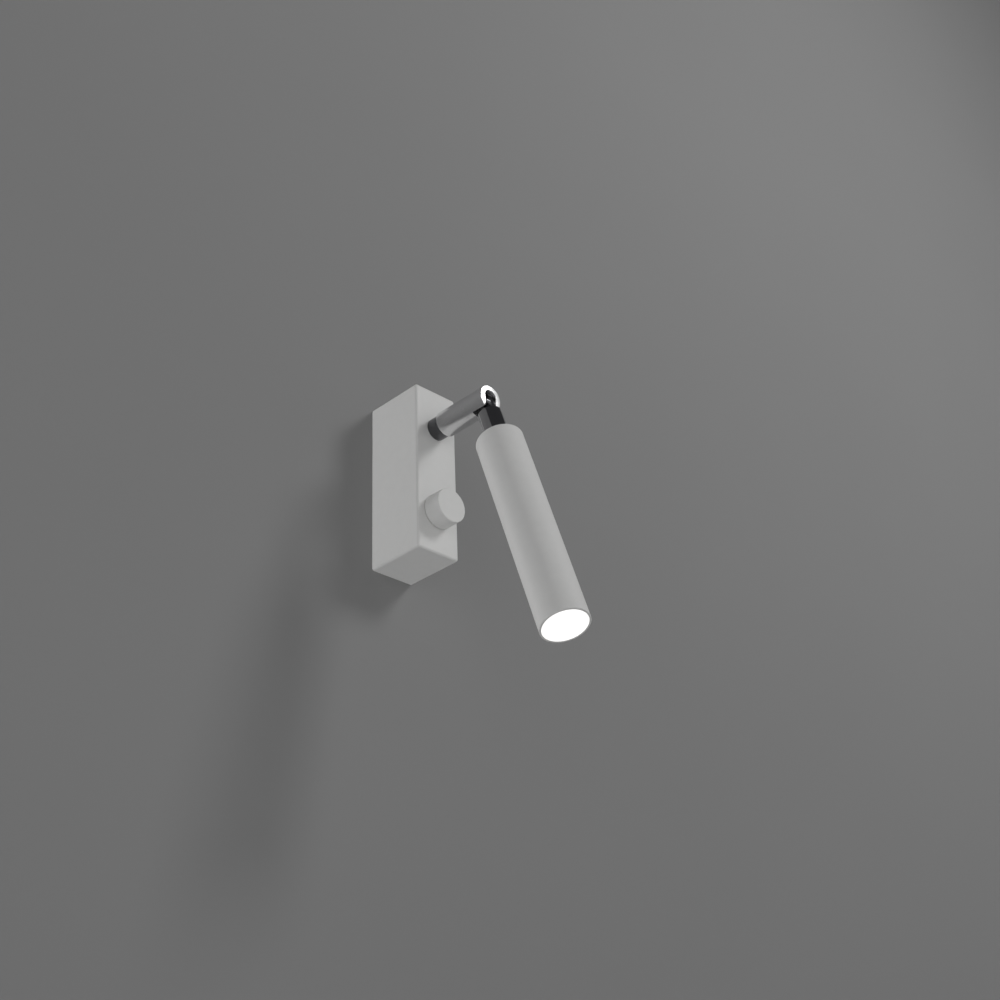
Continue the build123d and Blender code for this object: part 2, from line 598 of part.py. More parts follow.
def make_earth_lead():
    """Lead from the earth pole up to the ring tag."""
    tag_height = INNER_HEIGHT - ring_tag_barrel_top()
    barrel_bottom = tag_height - RING_TAG_BARREL_LENGTH
    start = BLOCK_CENTRE + LEAD_RADIUS
    turn = barrel_bottom - EARTH_LEAD_RUN
    points = [
        (EARTH_POLE, -POLE_OUT, start),
        (EARTH_POLE, -POLE_OUT, (start + turn) / 2),
        (EARTH_POLE, -ring_tag_barrel_out(), turn),
        (EARTH_POLE, -ring_tag_barrel_out(), tag_height - LOOSE_GAP),
    ]
    return lead("earth_lead", points, LEAD_RADIUS)


def driver_box(inset, back, front):
    """Box of the driver's outline, drawn in by an inset, between two distances out."""
    side = DRIVER_SIDE - inset
    return slab((-side, side), (-front, -back), (DRIVER_BOTTOM + inset, DRIVER_TOP - inset))


def make_driver_pad():
    """Foam pad that sticks the driver to the casing's front wall."""
    return driver_box(DRIVER_PAD_INSET, DRIVER_FRONT, -CAVITY_FRONT)


def make_driver_case():
    """Open tray with two rails for the board and holes for the leads."""
    case = driver_box(0, DRIVER_LID_SEAT, DRIVER_FRONT)
    floor = DRIVER_FRONT - DRIVER_WALL
    case -= driver_box(DRIVER_WALL, DRIVER_LID_SEAT, floor)
    rail_end = DRIVER_SIDE - DRIVER_WALL
    for side in (-1, 1):
        x_range = sorted((side * rail_end, side * (rail_end - DRIVER_RAIL)))
        z_range = (DRIVER_BOTTOM + DRIVER_WALL, DRIVER_TOP - DRIVER_WALL)
        case += slab(x_range, (-floor, -(floor - DRIVER_RAIL)), z_range)
    hole = rod(LEAD_RADIUS + LEAD_HOLE_GAP, DRIVER_BOTTOM, DRIVER_BOTTOM + DRIVER_WALL)
    for place in SUPPLY_POLES:
        case -= Pos(place, -SUPPLY_LEAD_OUT, 0) * hole
    for place in DIMMER_LEAD_PLACES:
        case -= Pos(place, -DIMMER_LEAD_OUT, 0) * hole
    lamp_hole = rod(LAMP_LEAD_HOLE, DRIVER_TOP - DRIVER_WALL, DRIVER_TOP)
    return case - Pos(0, -LAMP_LEAD_OUT, 0) * lamp_hole


def make_driver_lid():
    """Flat lid with a rim that drops into the case."""
    lid = driver_box(0, DRIVER_BACK, DRIVER_LID_SEAT)
    inset = DRIVER_WALL + FIT_GAP
    rim_end = DRIVER_LID_SEAT + DRIVER_LID_RIM
    lid += driver_box(inset, DRIVER_LID_SEAT, rim_end)
    return lid - driver_box(inset + DRIVER_LID_RIM, DRIVER_LID_SEAT, rim_end)


def make_driver_board():
    """Circuit board on the rails of the case."""
    return driver_box(
        DRIVER_WALL + FIT_GAP, DRIVER_BOARD_BACK, DRIVER_BOARD_BACK + DRIVER_BOARD_THICKNESS
    )


def make_driver_transformer():
    """Taped winding on the left of the board, with rounded upright edges."""
    winding = slab(
        (-DRIVER_PARTS_SIDE, -DRIVER_PARTS_SIDE + TRANSFORMER_WIDTH),
        (-DRIVER_BOARD_BACK, -DRIVER_BOARD_BACK + TRANSFORMER_HEIGHT),
        (DRIVER_CENTRE - TRANSFORMER_LENGTH / 2, DRIVER_CENTRE + TRANSFORMER_LENGTH / 2),
    )
    return fillet(winding.edges().filter_by(Axis.Y), TRANSFORMER_EDGE_RADIUS)


def make_driver_capacitor():
    """Round can that stands on the right of the board."""
    foot = (DRIVER_PARTS_SIDE - CAPACITOR_RADIUS, -DRIVER_BOARD_BACK, DRIVER_CENTRE)
    return Plane(origin=foot, z_dir=(0, 1, 0)) * rod(CAPACITOR_RADIUS, 0, CAPACITOR_HEIGHT)


def make_supply_leads():
    """Live and neutral leads, out of the block's lower side and up into the driver."""
    block_bottom = BLOCK_CENTRE - BLOCK_HEIGHT / 2
    low_point = block_bottom - SUPPLY_LEAD_DROP
    leads = []
    for pole, place in enumerate(SUPPLY_POLES):
        points = [
            (place, -POLE_OUT, BLOCK_CENTRE),
            (place, -POLE_OUT, low_point),
            (place, -SUPPLY_LEAD_OUT, low_point),
            (place, -SUPPLY_LEAD_OUT, DRIVER_BOTTOM + DRIVER_WALL + LEAD_TAIL),
        ]
        leads.append(lead(f"supply_leads {pole}", points, LEAD_RADIUS))
    return leads


def make_dimmer_leads():
    """Two leads from the dimmer's back up into the driver."""
    leads = []
    for number, place in enumerate(DIMMER_LEAD_PLACES):
        points = [
            (place, -(BASE_DEPTH + DIMMER_BACK), KNOB_HEIGHT),
            (place, -DIMMER_LEAD_OUT, KNOB_HEIGHT),
            (place, -DIMMER_LEAD_OUT, DRIVER_BOTTOM + DRIVER_WALL + LEAD_TAIL),
        ]
        leads.append(lead(f"dimmer_leads {number}", points, LEAD_RADIUS))
    return leads


def make_lamp_leads_base():
    """Pair of lamp leads from the driver to the middle of the hollow stud."""
    leads = []
    for number, side in enumerate((-1, 1)):
        place = side * LAMP_LEAD_SPREAD
        points = [
            (place, -LAMP_LEAD_OUT, DRIVER_TOP - DRIVER_WALL - LEAD_TAIL),
            (place, -LAMP_LEAD_OUT, ARM_HEIGHT),
            (place, -(BASE_DEPTH + LEAD_MEETING), ARM_HEIGHT),
        ]
        leads.append(lead(f"lamp_leads_base {number}", points, LAMP_LEAD_RADIUS))
    return leads


def make_dimmer_body():
    """Round can with a threaded bush that comes out through the casing."""
    can = rod(DIMMER_RADIUS, DIMMER_BACK, -FRONT_WALL)
    bush = rod(DIMMER_BUSH_RADIUS, -FRONT_WALL, DIMMER_BUSH_REACH)
    inner_end = -FRONT_WALL - DIMMER_SHAFT_INNER - LOOSE_GAP
    bore = rod(DIMMER_SHAFT_RADIUS + RUNNING_GAP, inner_end, DIMMER_BUSH_REACH)
    return KNOB_AXIS * (can + bush - bore)


def make_dimmer_washer():
    """Washer under the dimmer's nut."""
    return KNOB_AXIS * ring(DIMMER_WASHER_RADIUS, DIMMER_BUSH_RADIUS + FIT_GAP, 0, DIMMER_WASHER)


def make_dimmer_nut():
    """Nut that clamps the dimmer to the casing, inside the knob's hollow."""
    end = DIMMER_WASHER + DIMMER_NUT_HEIGHT
    return KNOB_AXIS * hex_nut(DIMMER_NUT_FLATS, DIMMER_BUSH_RADIUS + FIT_GAP, DIMMER_WASHER, end)


# ---------------------------------------------------------------- knob
def d_bar(radius, flat, start, end):
    """Round bar along Z with one flat, which faces +Y."""
    bar = rod(radius, start, end)
    return bar - slab((-radius, radius), (flat, 2 * radius), (start, end))


def make_dimmer_shaft():
    """Shaft with a flat on its outer end."""
    shaft_end = KNOB_REACH - KNOB_FACE_THICKNESS - LOOSE_GAP
    flat_start = DIMMER_BUSH_REACH + LOOSE_GAP
    shaft = rod(DIMMER_SHAFT_RADIUS, -FRONT_WALL - DIMMER_SHAFT_INNER, flat_start)
    return KNOB_AXIS * (shaft + d_bar(DIMMER_SHAFT_RADIUS, SHAFT_FLAT, flat_start, shaft_end))


def knob_grub_out():
    """Distance of the grub screw from the casing, midway along the knob's grip on the shaft."""
    return (DIMMER_BUSH_REACH + KNOB_REACH - KNOB_FACE_THICKNESS) / 2


def make_knob():
    """Plain round knob, hollow behind, with a flatted bore and a grub-screw hole."""
    hollow_end = DIMMER_BUSH_REACH + 2 * LOOSE_GAP
    knob = rod(KNOB_RADIUS, LOOSE_GAP, KNOB_REACH)
    knob = round_rim(knob, KNOB_REACH, KNOB_EDGE_RADIUS)
    knob = bevel_rim(knob, LOOSE_GAP, KNOB_REAR_CHAMFER)
    knob -= rod(KNOB_HOLLOW_RADIUS, LOOSE_GAP, hollow_end)
    bore_end = KNOB_REACH - KNOB_FACE_THICKNESS
    flat = SHAFT_FLAT + FIT_GAP
    knob -= d_bar(DIMMER_SHAFT_RADIUS + FIT_GAP, flat, hollow_end, bore_end)
    grub_hole = Cylinder(KNOB_GRUB_RADIUS + FIT_GAP, KNOB_RADIUS, rotation=(90, 0, 0))
    knob -= Pos(0, SHAFT_FLAT + KNOB_RADIUS / 2, knob_grub_out()) * grub_hole
    return KNOB_AXIS * knob


def make_knob_grub_screw():
    """Headless screw that bears on the shaft's flat."""
    screw = rod(KNOB_GRUB_RADIUS, 0, KNOB_GRUB_LENGTH)
    screw -= hexagon(KNOB_GRUB_DRIVE, KNOB_GRUB_LENGTH - KNOB_GRUB_DRIVE, KNOB_GRUB_LENGTH)
    upright = Plane(origin=(0, SHAFT_FLAT, knob_grub_out()), z_dir=(0, 1, 0))
    return KNOB_AXIS * (upright * screw)


# ---------------------------------------------------------------- swivel
def make_swivel_collar():
    """Collar between the casing and the arm."""
    collar = rod(COLLAR_RADIUS, 0, COLLAR_LENGTH)
    collar = bevel_rim(collar, COLLAR_LENGTH, COLLAR_CHAMFER)
    return ARM_AXIS * (collar - rod(STUD_RADIUS + RUNNING_GAP, 0, COLLAR_LENGTH))


def make_swivel_thrust_washer():
    """Slip washer between the collar and the arm."""
    bore = STUD_RADIUS + RUNNING_GAP
    return ARM_AXIS * ring(THRUST_WASHER_RADIUS, bore, COLLAR_LENGTH, THRUST_WASHER_END)


def make_swivel_friction_washer():
    """Friction washer between the casing's inner face and the stop washer."""
    start = -(FRONT_WALL + FRICTION_WASHER)
    bore = STUD_RADIUS + RUNNING_GAP
    return ARM_AXIS * ring(FRICTION_WASHER_RADIUS, bore, start, -FRONT_WALL)


def make_stop_pin():
    """Pin in the casing that the stop washer's tongue runs up to."""
    pin = rod(STOP_PIN_RADIUS, STOP_WASHER_BACK + LOOSE_GAP, -FRONT_WALL + STOP_PIN_SEAT)
    return ARM_AXIS * Pos(0, -STOP_PIN_CIRCLE, 0) * pin


def make_swivel_stud():
    """Hollow stud, screwed into the arm and run through the casing."""
    return ARM_AXIS * ring(STUD_RADIUS, STUD_BORE_RADIUS, STUD_BACK, STUD_END)


def make_stop_washer():
    """Washer that turns with the stud, with a tongue for the stop."""
    disc = rod(STOP_WASHER_RADIUS, STOP_WASHER_BACK, STOP_WASHER_FRONT)
    disc += slab(
        (-STOP_TONGUE_WIDTH / 2, STOP_TONGUE_WIDTH / 2),
        (0, STOP_TONGUE_REACH),
        (STOP_WASHER_BACK, STOP_WASHER_FRONT),
    )
    return ARM_AXIS * (disc - rod(STUD_RADIUS + FIT_GAP, STOP_WASHER_BACK, STOP_WASHER_FRONT))


def make_swivel_nut():
    """Nut that holds the arm on the casing."""
    bore = STUD_RADIUS + FIT_GAP
    return ARM_AXIS * hex_nut(SWIVEL_NUT_FLATS, bore, SWIVEL_NUT_BACK, STOP_WASHER_BACK)


# ---------------------------------------------------------------- arm
def make_arm_body():
    """Round arm, bored for the stud and the leads, with an arched fork open at its end and below."""
    arm = rod(ARM_RADIUS, ARM_START, ARM_END)
    arm = bevel_rim(arm, ARM_START, ARM_REAR_CHAMFER)
    arm = bevel_rim(arm, ARM_END, ARM_FRONT_CHAMFER)
    arm -= rod(STUD_RADIUS + FIT_GAP, ARM_START, STUD_END + FIT_GAP)
    arm -= rod(WIRE_BORE_RADIUS, STUD_END, FORK_START)
    across = (-FORK_SIDE, FORK_SIDE)
    along = (FORK_START, ARM_END)
    arch = rod(FORK_ARCH_RADIUS, *along) & slab(across, (0, FORK_ARCH_RADIUS), along)
    arm -= arch + slab(across, (-ARM_RADIUS, 0), along)
    arm = ARM_AXIS * arm
    blind_end = -(ARM_RADIUS - HINGE_BLIND_SKIN)
    head_seat = ARM_RADIUS - HINGE_HEAD_RECESS
    arm -= HINGE_AXIS * rod(TILT_BUSH_BORE, blind_end, head_seat)
    return arm - HINGE_AXIS * rod(HINGE_HEAD_RADIUS + FIT_GAP, head_seat, ARM_RADIUS)


def make_hinge_screw():
    """Shouldered screw through both cheeks of the fork, its head sunk in the right one."""
    head_seat = ARM_RADIUS - HINGE_HEAD_RECESS
    blind_end = -(ARM_RADIUS - HINGE_BLIND_SKIN)
    length = head_seat - blind_end - LOOSE_GAP
    screw = headed_screw(HINGE_PIN_RADIUS, length, HINGE_HEAD_RADIUS, HINGE_HEAD, HINGE_HEAD_DRIVE)
    return HINGE_AXIS * Pos(0, 0, head_seat) * screw


def make_tilt_bushes():
    """Bush on each side of the knuckle's tongue, pinched between it and the fork's cheek."""
    outside = TILT_BUSH_BORE + TILT_BUSH_WALL
    right = ring(outside, TILT_BUSH_BORE, BUSH_START, FORK_SIDE)
    left = ring(outside, TILT_BUSH_BORE, -FORK_SIDE, -BUSH_START)
    return [HINGE_AXIS * right, HINGE_AXIS * left]


def make_lamp_leads_arm():
    """Straight stretches of the lamp leads, through the arm from the stud to the fork."""
    stretch = rod(LAMP_LEAD_RADIUS, LEAD_MEETING, FORK_START)
    return [ARM_AXIS * Pos(side * LAMP_LEAD_SPREAD, 0, 0) * stretch for side in (-1, 1)]


# ---------------------------------------------------------------- head
def make_knuckle():
    """Round-nosed tongue on a thick neck, with a threaded tail and ways through for the leads."""
    side = (-TONGUE_THICKNESS / 2, TONGUE_THICKNESS / 2)
    nose = Cylinder(TONGUE_RADIUS, TONGUE_THICKNESS, rotation=(0, 90, 0))
    tongue = nose + slab(side, (-TONGUE_RADIUS, TONGUE_RADIUS), (0, SHOULDER))
    neck = bevel_rim(rod(NECK_RADIUS, SHOULDER, NECK_END), SHOULDER, NECK_CHAMFER)
    knuckle = tongue + neck + rod(TAIL_RADIUS, NECK_END, NECK_END + TAIL_LENGTH)
    knuckle -= rod(NECK_BORE_RADIUS, NECK_BORE_TOP, NECK_END + TAIL_LENGTH)
    lead_hole = rod(LAMP_LEAD_RADIUS + LEAD_HOLE_GAP, SHOULDER, NECK_BORE_TOP)
    for hole_side in (-1, 1):
        knuckle -= Pos(hole_side * SHOULDER_HOLE_PLACE, 0, 0) * lead_hole
    pin_hole = Cylinder(HINGE_PIN_RADIUS + RUNNING_GAP, 2 * FORK_SIDE, rotation=(0, 90, 0))
    return HEAD_AXIS * (knuckle - pin_hole)


def make_head_lock_washer():
    """Washer under the nut inside the tube."""
    bore = TAIL_RADIUS + FIT_GAP
    return HEAD_AXIS * ring(HEAD_LOCK_WASHER_RADIUS, bore, TUBE_INSIDE, HEAD_NUT_START)


def make_head_nut():
    """Nut that holds the tube on the knuckle."""
    bore = TAIL_RADIUS + FIT_GAP
    end = HEAD_NUT_START + HEAD_NUT_HEIGHT
    return HEAD_AXIS * hex_nut(HEAD_NUT_FLATS, bore, HEAD_NUT_START, end)


def make_head_tube():
    """Tube closed at the top, with a step for the lens at its mouth."""
    tube = rod(TUBE_RADIUS, NECK_END, TUBE_END)
    tube = round_rim(tube, NECK_END, TUBE_TOP_RADIUS)
    tube = bevel_rim(tube, TUBE_END, TUBE_MOUTH_CHAMFER)
    tube -= rod(TAIL_RADIUS + FIT_GAP, NECK_END, TUBE_INSIDE)
    tube -= rod(TUBE_BORE, TUBE_INSIDE, LENS_SEAT)
    return HEAD_AXIS * (tube - rod(LENS_RADIUS + FIT_GAP, LENS_SEAT, TUBE_END))


def make_heat_sink():
    """Finned slug pressed into the tube behind the lamp."""
    sink = rod(TUBE_BORE - FIT_GAP, HEAT_SINK_BACK, BOARD_BACK)
    slot = slab(
        (-FIN_SLOT_WIDTH / 2, FIN_SLOT_WIDTH / 2),
        (FIN_ROOT_RADIUS, TUBE_RADIUS),
        (HEAT_SINK_BACK, HEAT_SINK_BACK + FIN_SLOT_LENGTH),
    )
    step = 360 / FIN_COUNT
    for fin in range(FIN_COUNT):
        sink -= Rot(0, 0, (fin + 0.5) * step) * slot
    lead_hole = rod(LAMP_LEAD_HOLE, HEAT_SINK_BACK, BOARD_BACK)
    sink -= Pos(0, -HEAD_LEAD_OFFSET, 0) * lead_hole
    screw_hole = rod(BOARD_SCREW_RADIUS + FIT_GAP, BOARD_FRONT - BOARD_SCREW_LENGTH, BOARD_BACK)
    for side in (-1, 1):
        sink -= Pos(side * BOARD_SCREW_CIRCLE, 0, 0) * screw_hole
    return HEAD_AXIS * sink


def make_led_board():
    """Round metal-cored board with holes for two screws and the lead."""
    board = rod(BOARD_RADIUS, BOARD_BACK, BOARD_FRONT)
    lead_hole = rod(LAMP_LEAD_HOLE, BOARD_BACK, BOARD_FRONT)
    board -= Pos(0, -HEAD_LEAD_OFFSET, 0) * lead_hole
    for side in (-1, 1):
        screw_hole = rod(BOARD_SCREW_RADIUS + FIT_GAP, BOARD_BACK, BOARD_FRONT)
        board -= Pos(side * BOARD_SCREW_CIRCLE, 0, 0) * screw_hole
    return HEAD_AXIS * board


def make_board_screws():
    """Two screws through the board into the heat sink."""
    screw = headed_screw(
        BOARD_SCREW_RADIUS,
        BOARD_SCREW_LENGTH,
        BOARD_SCREW_HEAD_RADIUS,
        BOARD_SCREW_HEAD,
        BOARD_SCREW_DRIVE,
    )
    places = [Pos(side * BOARD_SCREW_CIRCLE, 0, BOARD_FRONT) for side in (-1, 1)]
    return [HEAD_AXIS * place * screw for place in places]


def make_led_chip():
    """Square emitter package with a round light-giving patch."""
    half = CHIP_WIDTH / 2
    package = slab((-half, half), (-half, half), (BOARD_FRONT, CHIP_FRONT))
    return HEAD_AXIS * (package + rod(EMITTER_RADIUS, CHIP_FRONT, CHIP_FRONT + EMITTER_THICKNESS))


def make_reflector():
    """Conical reflector with a flange that centres it in the tube behind the lens."""
    middle = Pos(0, 0, CHIP_FRONT + REFLECTOR_HEIGHT / 2)
    throat = REFLECTOR_THROAT + REFLECTOR_WALL
    mouth = REFLECTOR_MOUTH + REFLECTOR_WALL
    outside = middle * Cone(throat, mouth, REFLECTOR_HEIGHT)
    outside += rod(TUBE_BORE - FIT_GAP, LENS_SEAT - REFLECTOR_FLANGE, LENS_SEAT)
    inside = middle * Cone(REFLECTOR_THROAT, REFLECTOR_MOUTH, REFLECTOR_HEIGHT)
    return HEAD_AXIS * (outside - inside)


def make_front_lens():
    """Diffusing disc in the mouth of the tube."""
    return HEAD_AXIS * rod(LENS_RADIUS, LENS_SEAT, LENS_SEAT + LENS_THICKNESS)


def make_lamp_leads_head():
    """Pair of lamp leads from the neck's shoulder to the board."""
    draw_in_end = NECK_BORE_TOP + HEAD_LEAD_DRAW_IN
    straight_end = draw_in_end + HEAD_LEAD_STRAIGHT
    leads = []
    for number, side in enumerate((-1, 1)):
        wide = side * SHOULDER_HOLE_PLACE
        close = side * LAMP_LEAD_SPREAD
        points = [
            (wide, 0, SHOULDER),
            (wide, 0, NECK_BORE_TOP),
            (close, 0, draw_in_end),
            (close, 0, straight_end),
            (close, -HEAD_LEAD_OFFSET, straight_end + HEAD_LEAD_LEAN),
            (close, -HEAD_LEAD_OFFSET, BOARD_FRONT),
        ]
        leads.append(HEAD_AXIS * lead(f"lamp_leads_head {number}", points, LAMP_LEAD_RADIUS))
    return leads


# ---------------------------------------------------------------- all pieces
PIECES = {
    "base_housing": make_base_housing,
    "housing_screw": make_housing_screw,
    "wall_plate": make_wall_plate,
    "cable_grommet": make_cable_grommet,
    "terminal_block": make_terminal_block,
    "terminal_clamps": make_terminal_clamps,
    "terminal_screws": make_terminal_screws,
    "terminal_block_screw": make_terminal_block_screw,
    "earth_stud": make_earth_stud,
    "earth_nut": make_earth_nut,
    "earth_ring_tag": make_earth_ring_tag,
    "earth_lead": make_earth_lead,
    "driver_pad": make_driver_pad,
    "driver_case": make_driver_case,
    "driver_lid": make_driver_lid,
    "driver_board": make_driver_board,
    "driver_transformer": make_driver_transformer,
    "driver_capacitor": make_driver_capacitor,
    "supply_leads": make_supply_leads,
    "dimmer_leads": make_dimmer_leads,
    "lamp_leads_base": make_lamp_leads_base,
    "dimmer_body": make_dimmer_body,
    "dimmer_washer": make_dimmer_washer,
    "dimmer_nut": make_dimmer_nut,
    "swivel_collar": make_swivel_collar,
    "swivel_thrust_washer": make_swivel_thrust_washer,
    "swivel_friction_washer": make_swivel_friction_washer,
    "stop_pin": make_stop_pin,
    "dimmer_shaft": make_dimmer_shaft,
    "knob": make_knob,
    "knob_grub_screw": make_knob_grub_screw,
    "swivel_stud": make_swivel_stud,
    "stop_washer": make_stop_washer,
    "swivel_nut": make_swivel_nut,
    "arm_body": make_arm_body,
    "hinge_screw": make_hinge_screw,
    "tilt_bushes": make_tilt_bushes,
    "lamp_leads_arm": make_lamp_leads_arm,
    "knuckle": make_knuckle,
    "head_lock_washer": make_head_lock_washer,
    "head_nut": make_head_nut,
    "head_tube": make_head_tube,
    "heat_sink": make_heat_sink,
    "led_board": make_led_board,
    "board_screws": make_board_screws,
    "led_chip": make_led_chip,
    "reflector": make_reflector,
    "front_lens": make_front_lens,
    "lamp_leads_head": make_lamp_leads_head,
}


def main():
    """Writes one STEP file for each node."""
    os.makedirs("parts", exist_ok=True)
    for name, make in PIECES.items():
        made = make()
        shape = Compound(children=made) if isinstance(made, list) else made
        export_step(shape, f"parts/{name}.step")


main()
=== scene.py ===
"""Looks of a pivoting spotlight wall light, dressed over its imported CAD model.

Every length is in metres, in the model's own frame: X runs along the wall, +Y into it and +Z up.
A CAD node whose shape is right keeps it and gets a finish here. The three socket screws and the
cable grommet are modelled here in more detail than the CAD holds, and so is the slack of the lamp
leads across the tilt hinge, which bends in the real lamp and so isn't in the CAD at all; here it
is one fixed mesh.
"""

import logging
import math
from dataclasses import dataclass, field
from enum import Enum
from typing import Any, ClassVar, Mapping, NamedTuple, Optional, Sequence, Union

import bmesh
import bpy
from mathutils import Matrix, Vector


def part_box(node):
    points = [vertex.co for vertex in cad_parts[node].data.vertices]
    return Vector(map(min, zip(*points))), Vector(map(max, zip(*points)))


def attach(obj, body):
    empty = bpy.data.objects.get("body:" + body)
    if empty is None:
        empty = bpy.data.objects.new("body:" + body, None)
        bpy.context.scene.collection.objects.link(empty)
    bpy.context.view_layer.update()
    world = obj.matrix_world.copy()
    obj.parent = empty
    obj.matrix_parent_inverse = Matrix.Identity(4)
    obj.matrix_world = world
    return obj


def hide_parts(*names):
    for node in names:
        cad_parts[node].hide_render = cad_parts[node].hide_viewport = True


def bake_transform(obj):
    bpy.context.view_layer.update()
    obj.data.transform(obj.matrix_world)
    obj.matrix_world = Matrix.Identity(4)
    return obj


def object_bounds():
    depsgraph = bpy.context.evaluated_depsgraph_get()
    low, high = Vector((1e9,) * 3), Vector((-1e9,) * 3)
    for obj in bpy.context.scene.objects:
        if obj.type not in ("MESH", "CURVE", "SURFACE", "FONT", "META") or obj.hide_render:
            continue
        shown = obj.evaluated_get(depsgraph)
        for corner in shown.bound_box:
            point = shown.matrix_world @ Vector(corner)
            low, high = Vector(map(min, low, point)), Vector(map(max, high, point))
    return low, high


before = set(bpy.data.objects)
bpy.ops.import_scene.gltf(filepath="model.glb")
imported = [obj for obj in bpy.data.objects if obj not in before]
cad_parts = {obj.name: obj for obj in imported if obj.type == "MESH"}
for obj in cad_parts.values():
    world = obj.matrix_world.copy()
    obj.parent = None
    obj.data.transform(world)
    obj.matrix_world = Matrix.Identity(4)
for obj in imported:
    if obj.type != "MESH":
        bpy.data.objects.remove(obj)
cad_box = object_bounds()

log = logging.getLogger("wall_light")

Colour = tuple[float, float, float]
Place = tuple[float, float, float]

MM = 0.001
BASE_DEPTH = 39.0 * MM
AXIS_HEIGHT = 27.2 * MM  # of the arm above the model's middle, and of the knob below it
HINGE_OUT = 79.8 * MM
HEAD_LEAN = math.radians(17.67)  # of the head from straight down, at rest
ARM_END = 45.3 * MM  # out from the casing's front
ARM_RADIUS = 7.7 * MM


# ---------------------------------------------------------------- shader maths
class Signal:
    """A number that changes over a surface, with Python's operators for shader maths."""

    def __init__(self, tree: "ShaderTree", socket: bpy.types.NodeSocket) -> None:
        """Wraps one output socket.

        Args:
            tree: the material's tree, which adds the Math nodes.
            socket: the output that holds the number.
        """
        self.tree = tree
        self.socket = socket

    def math(self, operation: str, *values: "Number", clamp: bool = False) -> "Signal":
        """Adds one Math node.

        Args:
            operation: the Math node's operation.
            values: its inputs in order.
            clamp: whether the result is kept between 0 and 1.

        Returns:
            The node's result.
        """
        inputs = dict(enumerate(values))
        node = self.tree.node("Math", {"operation": operation, "use_clamp": clamp}, inputs)
        return Signal(self.tree, node.outputs[0])

    def __add__(self, other: "Number") -> "Signal":
        """This plus another."""
        return self.math("ADD", self, other)

    def __sub__(self, other: "Number") -> "Signal":
        """This less another."""
        return self.math("SUBTRACT", self, other)

    def __rsub__(self, other: "Number") -> "Signal":
        """A number less this."""
        return self.math("SUBTRACT", other, self)

    def __mul__(self, other: "Number") -> "Signal":
        """This times another."""
        return self.math("MULTIPLY", self, other)

    def __truediv__(self, other: "Number") -> "Signal":
        """This over another."""
        return self.math("DIVIDE", self, other)

    def __pow__(self, other: "Number") -> "Signal":
        """This to a power."""
        return self.math("POWER", self, other)

    __radd__ = __add__
    __rmul__ = __mul__

    def clamped(self) -> "Signal":
        """This, kept between 0 and 1."""
        return self.math("ADD", self, 0.0, clamp=True)

    def wave(self) -> "Signal":
        """Sine of this, moved and scaled to run from 0 to 1."""
        return self.math("SINE", self) * 0.5 + 0.5

    def rise(self, low: float, high: float) -> "Signal":
        """Smooth step.

        Args:
            low: where the result leaves 0.
            high: where it reaches 1. It may be the lower of the two, for a step down.

        Returns:
            The step, from 0 to 1.
        """
        settings = {"interpolation_type": "SMOOTHSTEP"}
        inputs = {"Value": self, "From Min": low, "From Max": high}
        return Signal(self.tree, self.tree.node("MapRange", settings, inputs).outputs["Result"])


Number = Union[Signal, float]


class ShaderTree:
    """The nodes of one material or world, all made by one method."""

    def __init__(self, owner: Any) -> None:
        """Clears the owner's nodes.

        Args:
            owner: the material or world whose nodes these are.
        """
        owner.use_nodes = True
        self.tree = owner.node_tree
        self.tree.nodes.clear()

    def node(self, kind: str, settings: Mapping[str, Any], inputs: Mapping[Any, Any]) -> Any:
        """Makes one node.

        Args:
            kind: the node's type, without its ShaderNode prefix.
            settings: its properties.
            inputs: a number, vector, colour, link or Signal for each socket, by name or place.

        Returns:
            The node.
        """
        made = self.tree.nodes.new(f"ShaderNode{kind}")
        for name, value in settings.items():
            setattr(made, name, value)
        for name, value in inputs.items():
            socket = made.inputs[name]
            if isinstance(value, Signal):
                value = value.socket
            if isinstance(value, bpy.types.NodeSocket):
                self.tree.links.new(value, socket)
            elif socket.type == "RGBA" and len(value) == 3:
                socket.default_value = (*value, 1.0)
            else:
                socket.default_value = value
        return made

    def mixed(self, amount: Number, first: Any, second: Any) -> Any:
        """Colour between two.

        Args:
            amount: 0 for the first, 1 for the second.
            first: a colour or a link.
            second: a colour or a link.

        Returns:
            The mixed colour's socket.
        """
        settings = {"data_type": "RGBA"}
        return self.node("Mix", settings, {0: amount, 6: first, 7: second}).outputs[2]


# ---------------------------------------------------------------- places on the model
class Run(Enum):
    """Frames that a finish can be laid out in: where each starts, and its turn about each axis."""

    WALL = ((0.0, 0.0, 0.0), (0.0, 0.0, 0.0))
    KNOB = ((0.0, -BASE_DEPTH, -AXIS_HEIGHT), (math.pi / 2, 0.0, 0.0))
    ARM = ((0.0, -BASE_DEPTH, AXIS_HEIGHT), (math.pi / 2, 0.0, 0.0))
    HEAD = ((0.0, -HINGE_OUT, AXIS_HEIGHT), (math.pi - HEAD_LEAN, 0.0, 0.0))

    @property
    def start(self) -> Vector:
        """Where the frame's origin lies."""
        return Vector(self.value[0])


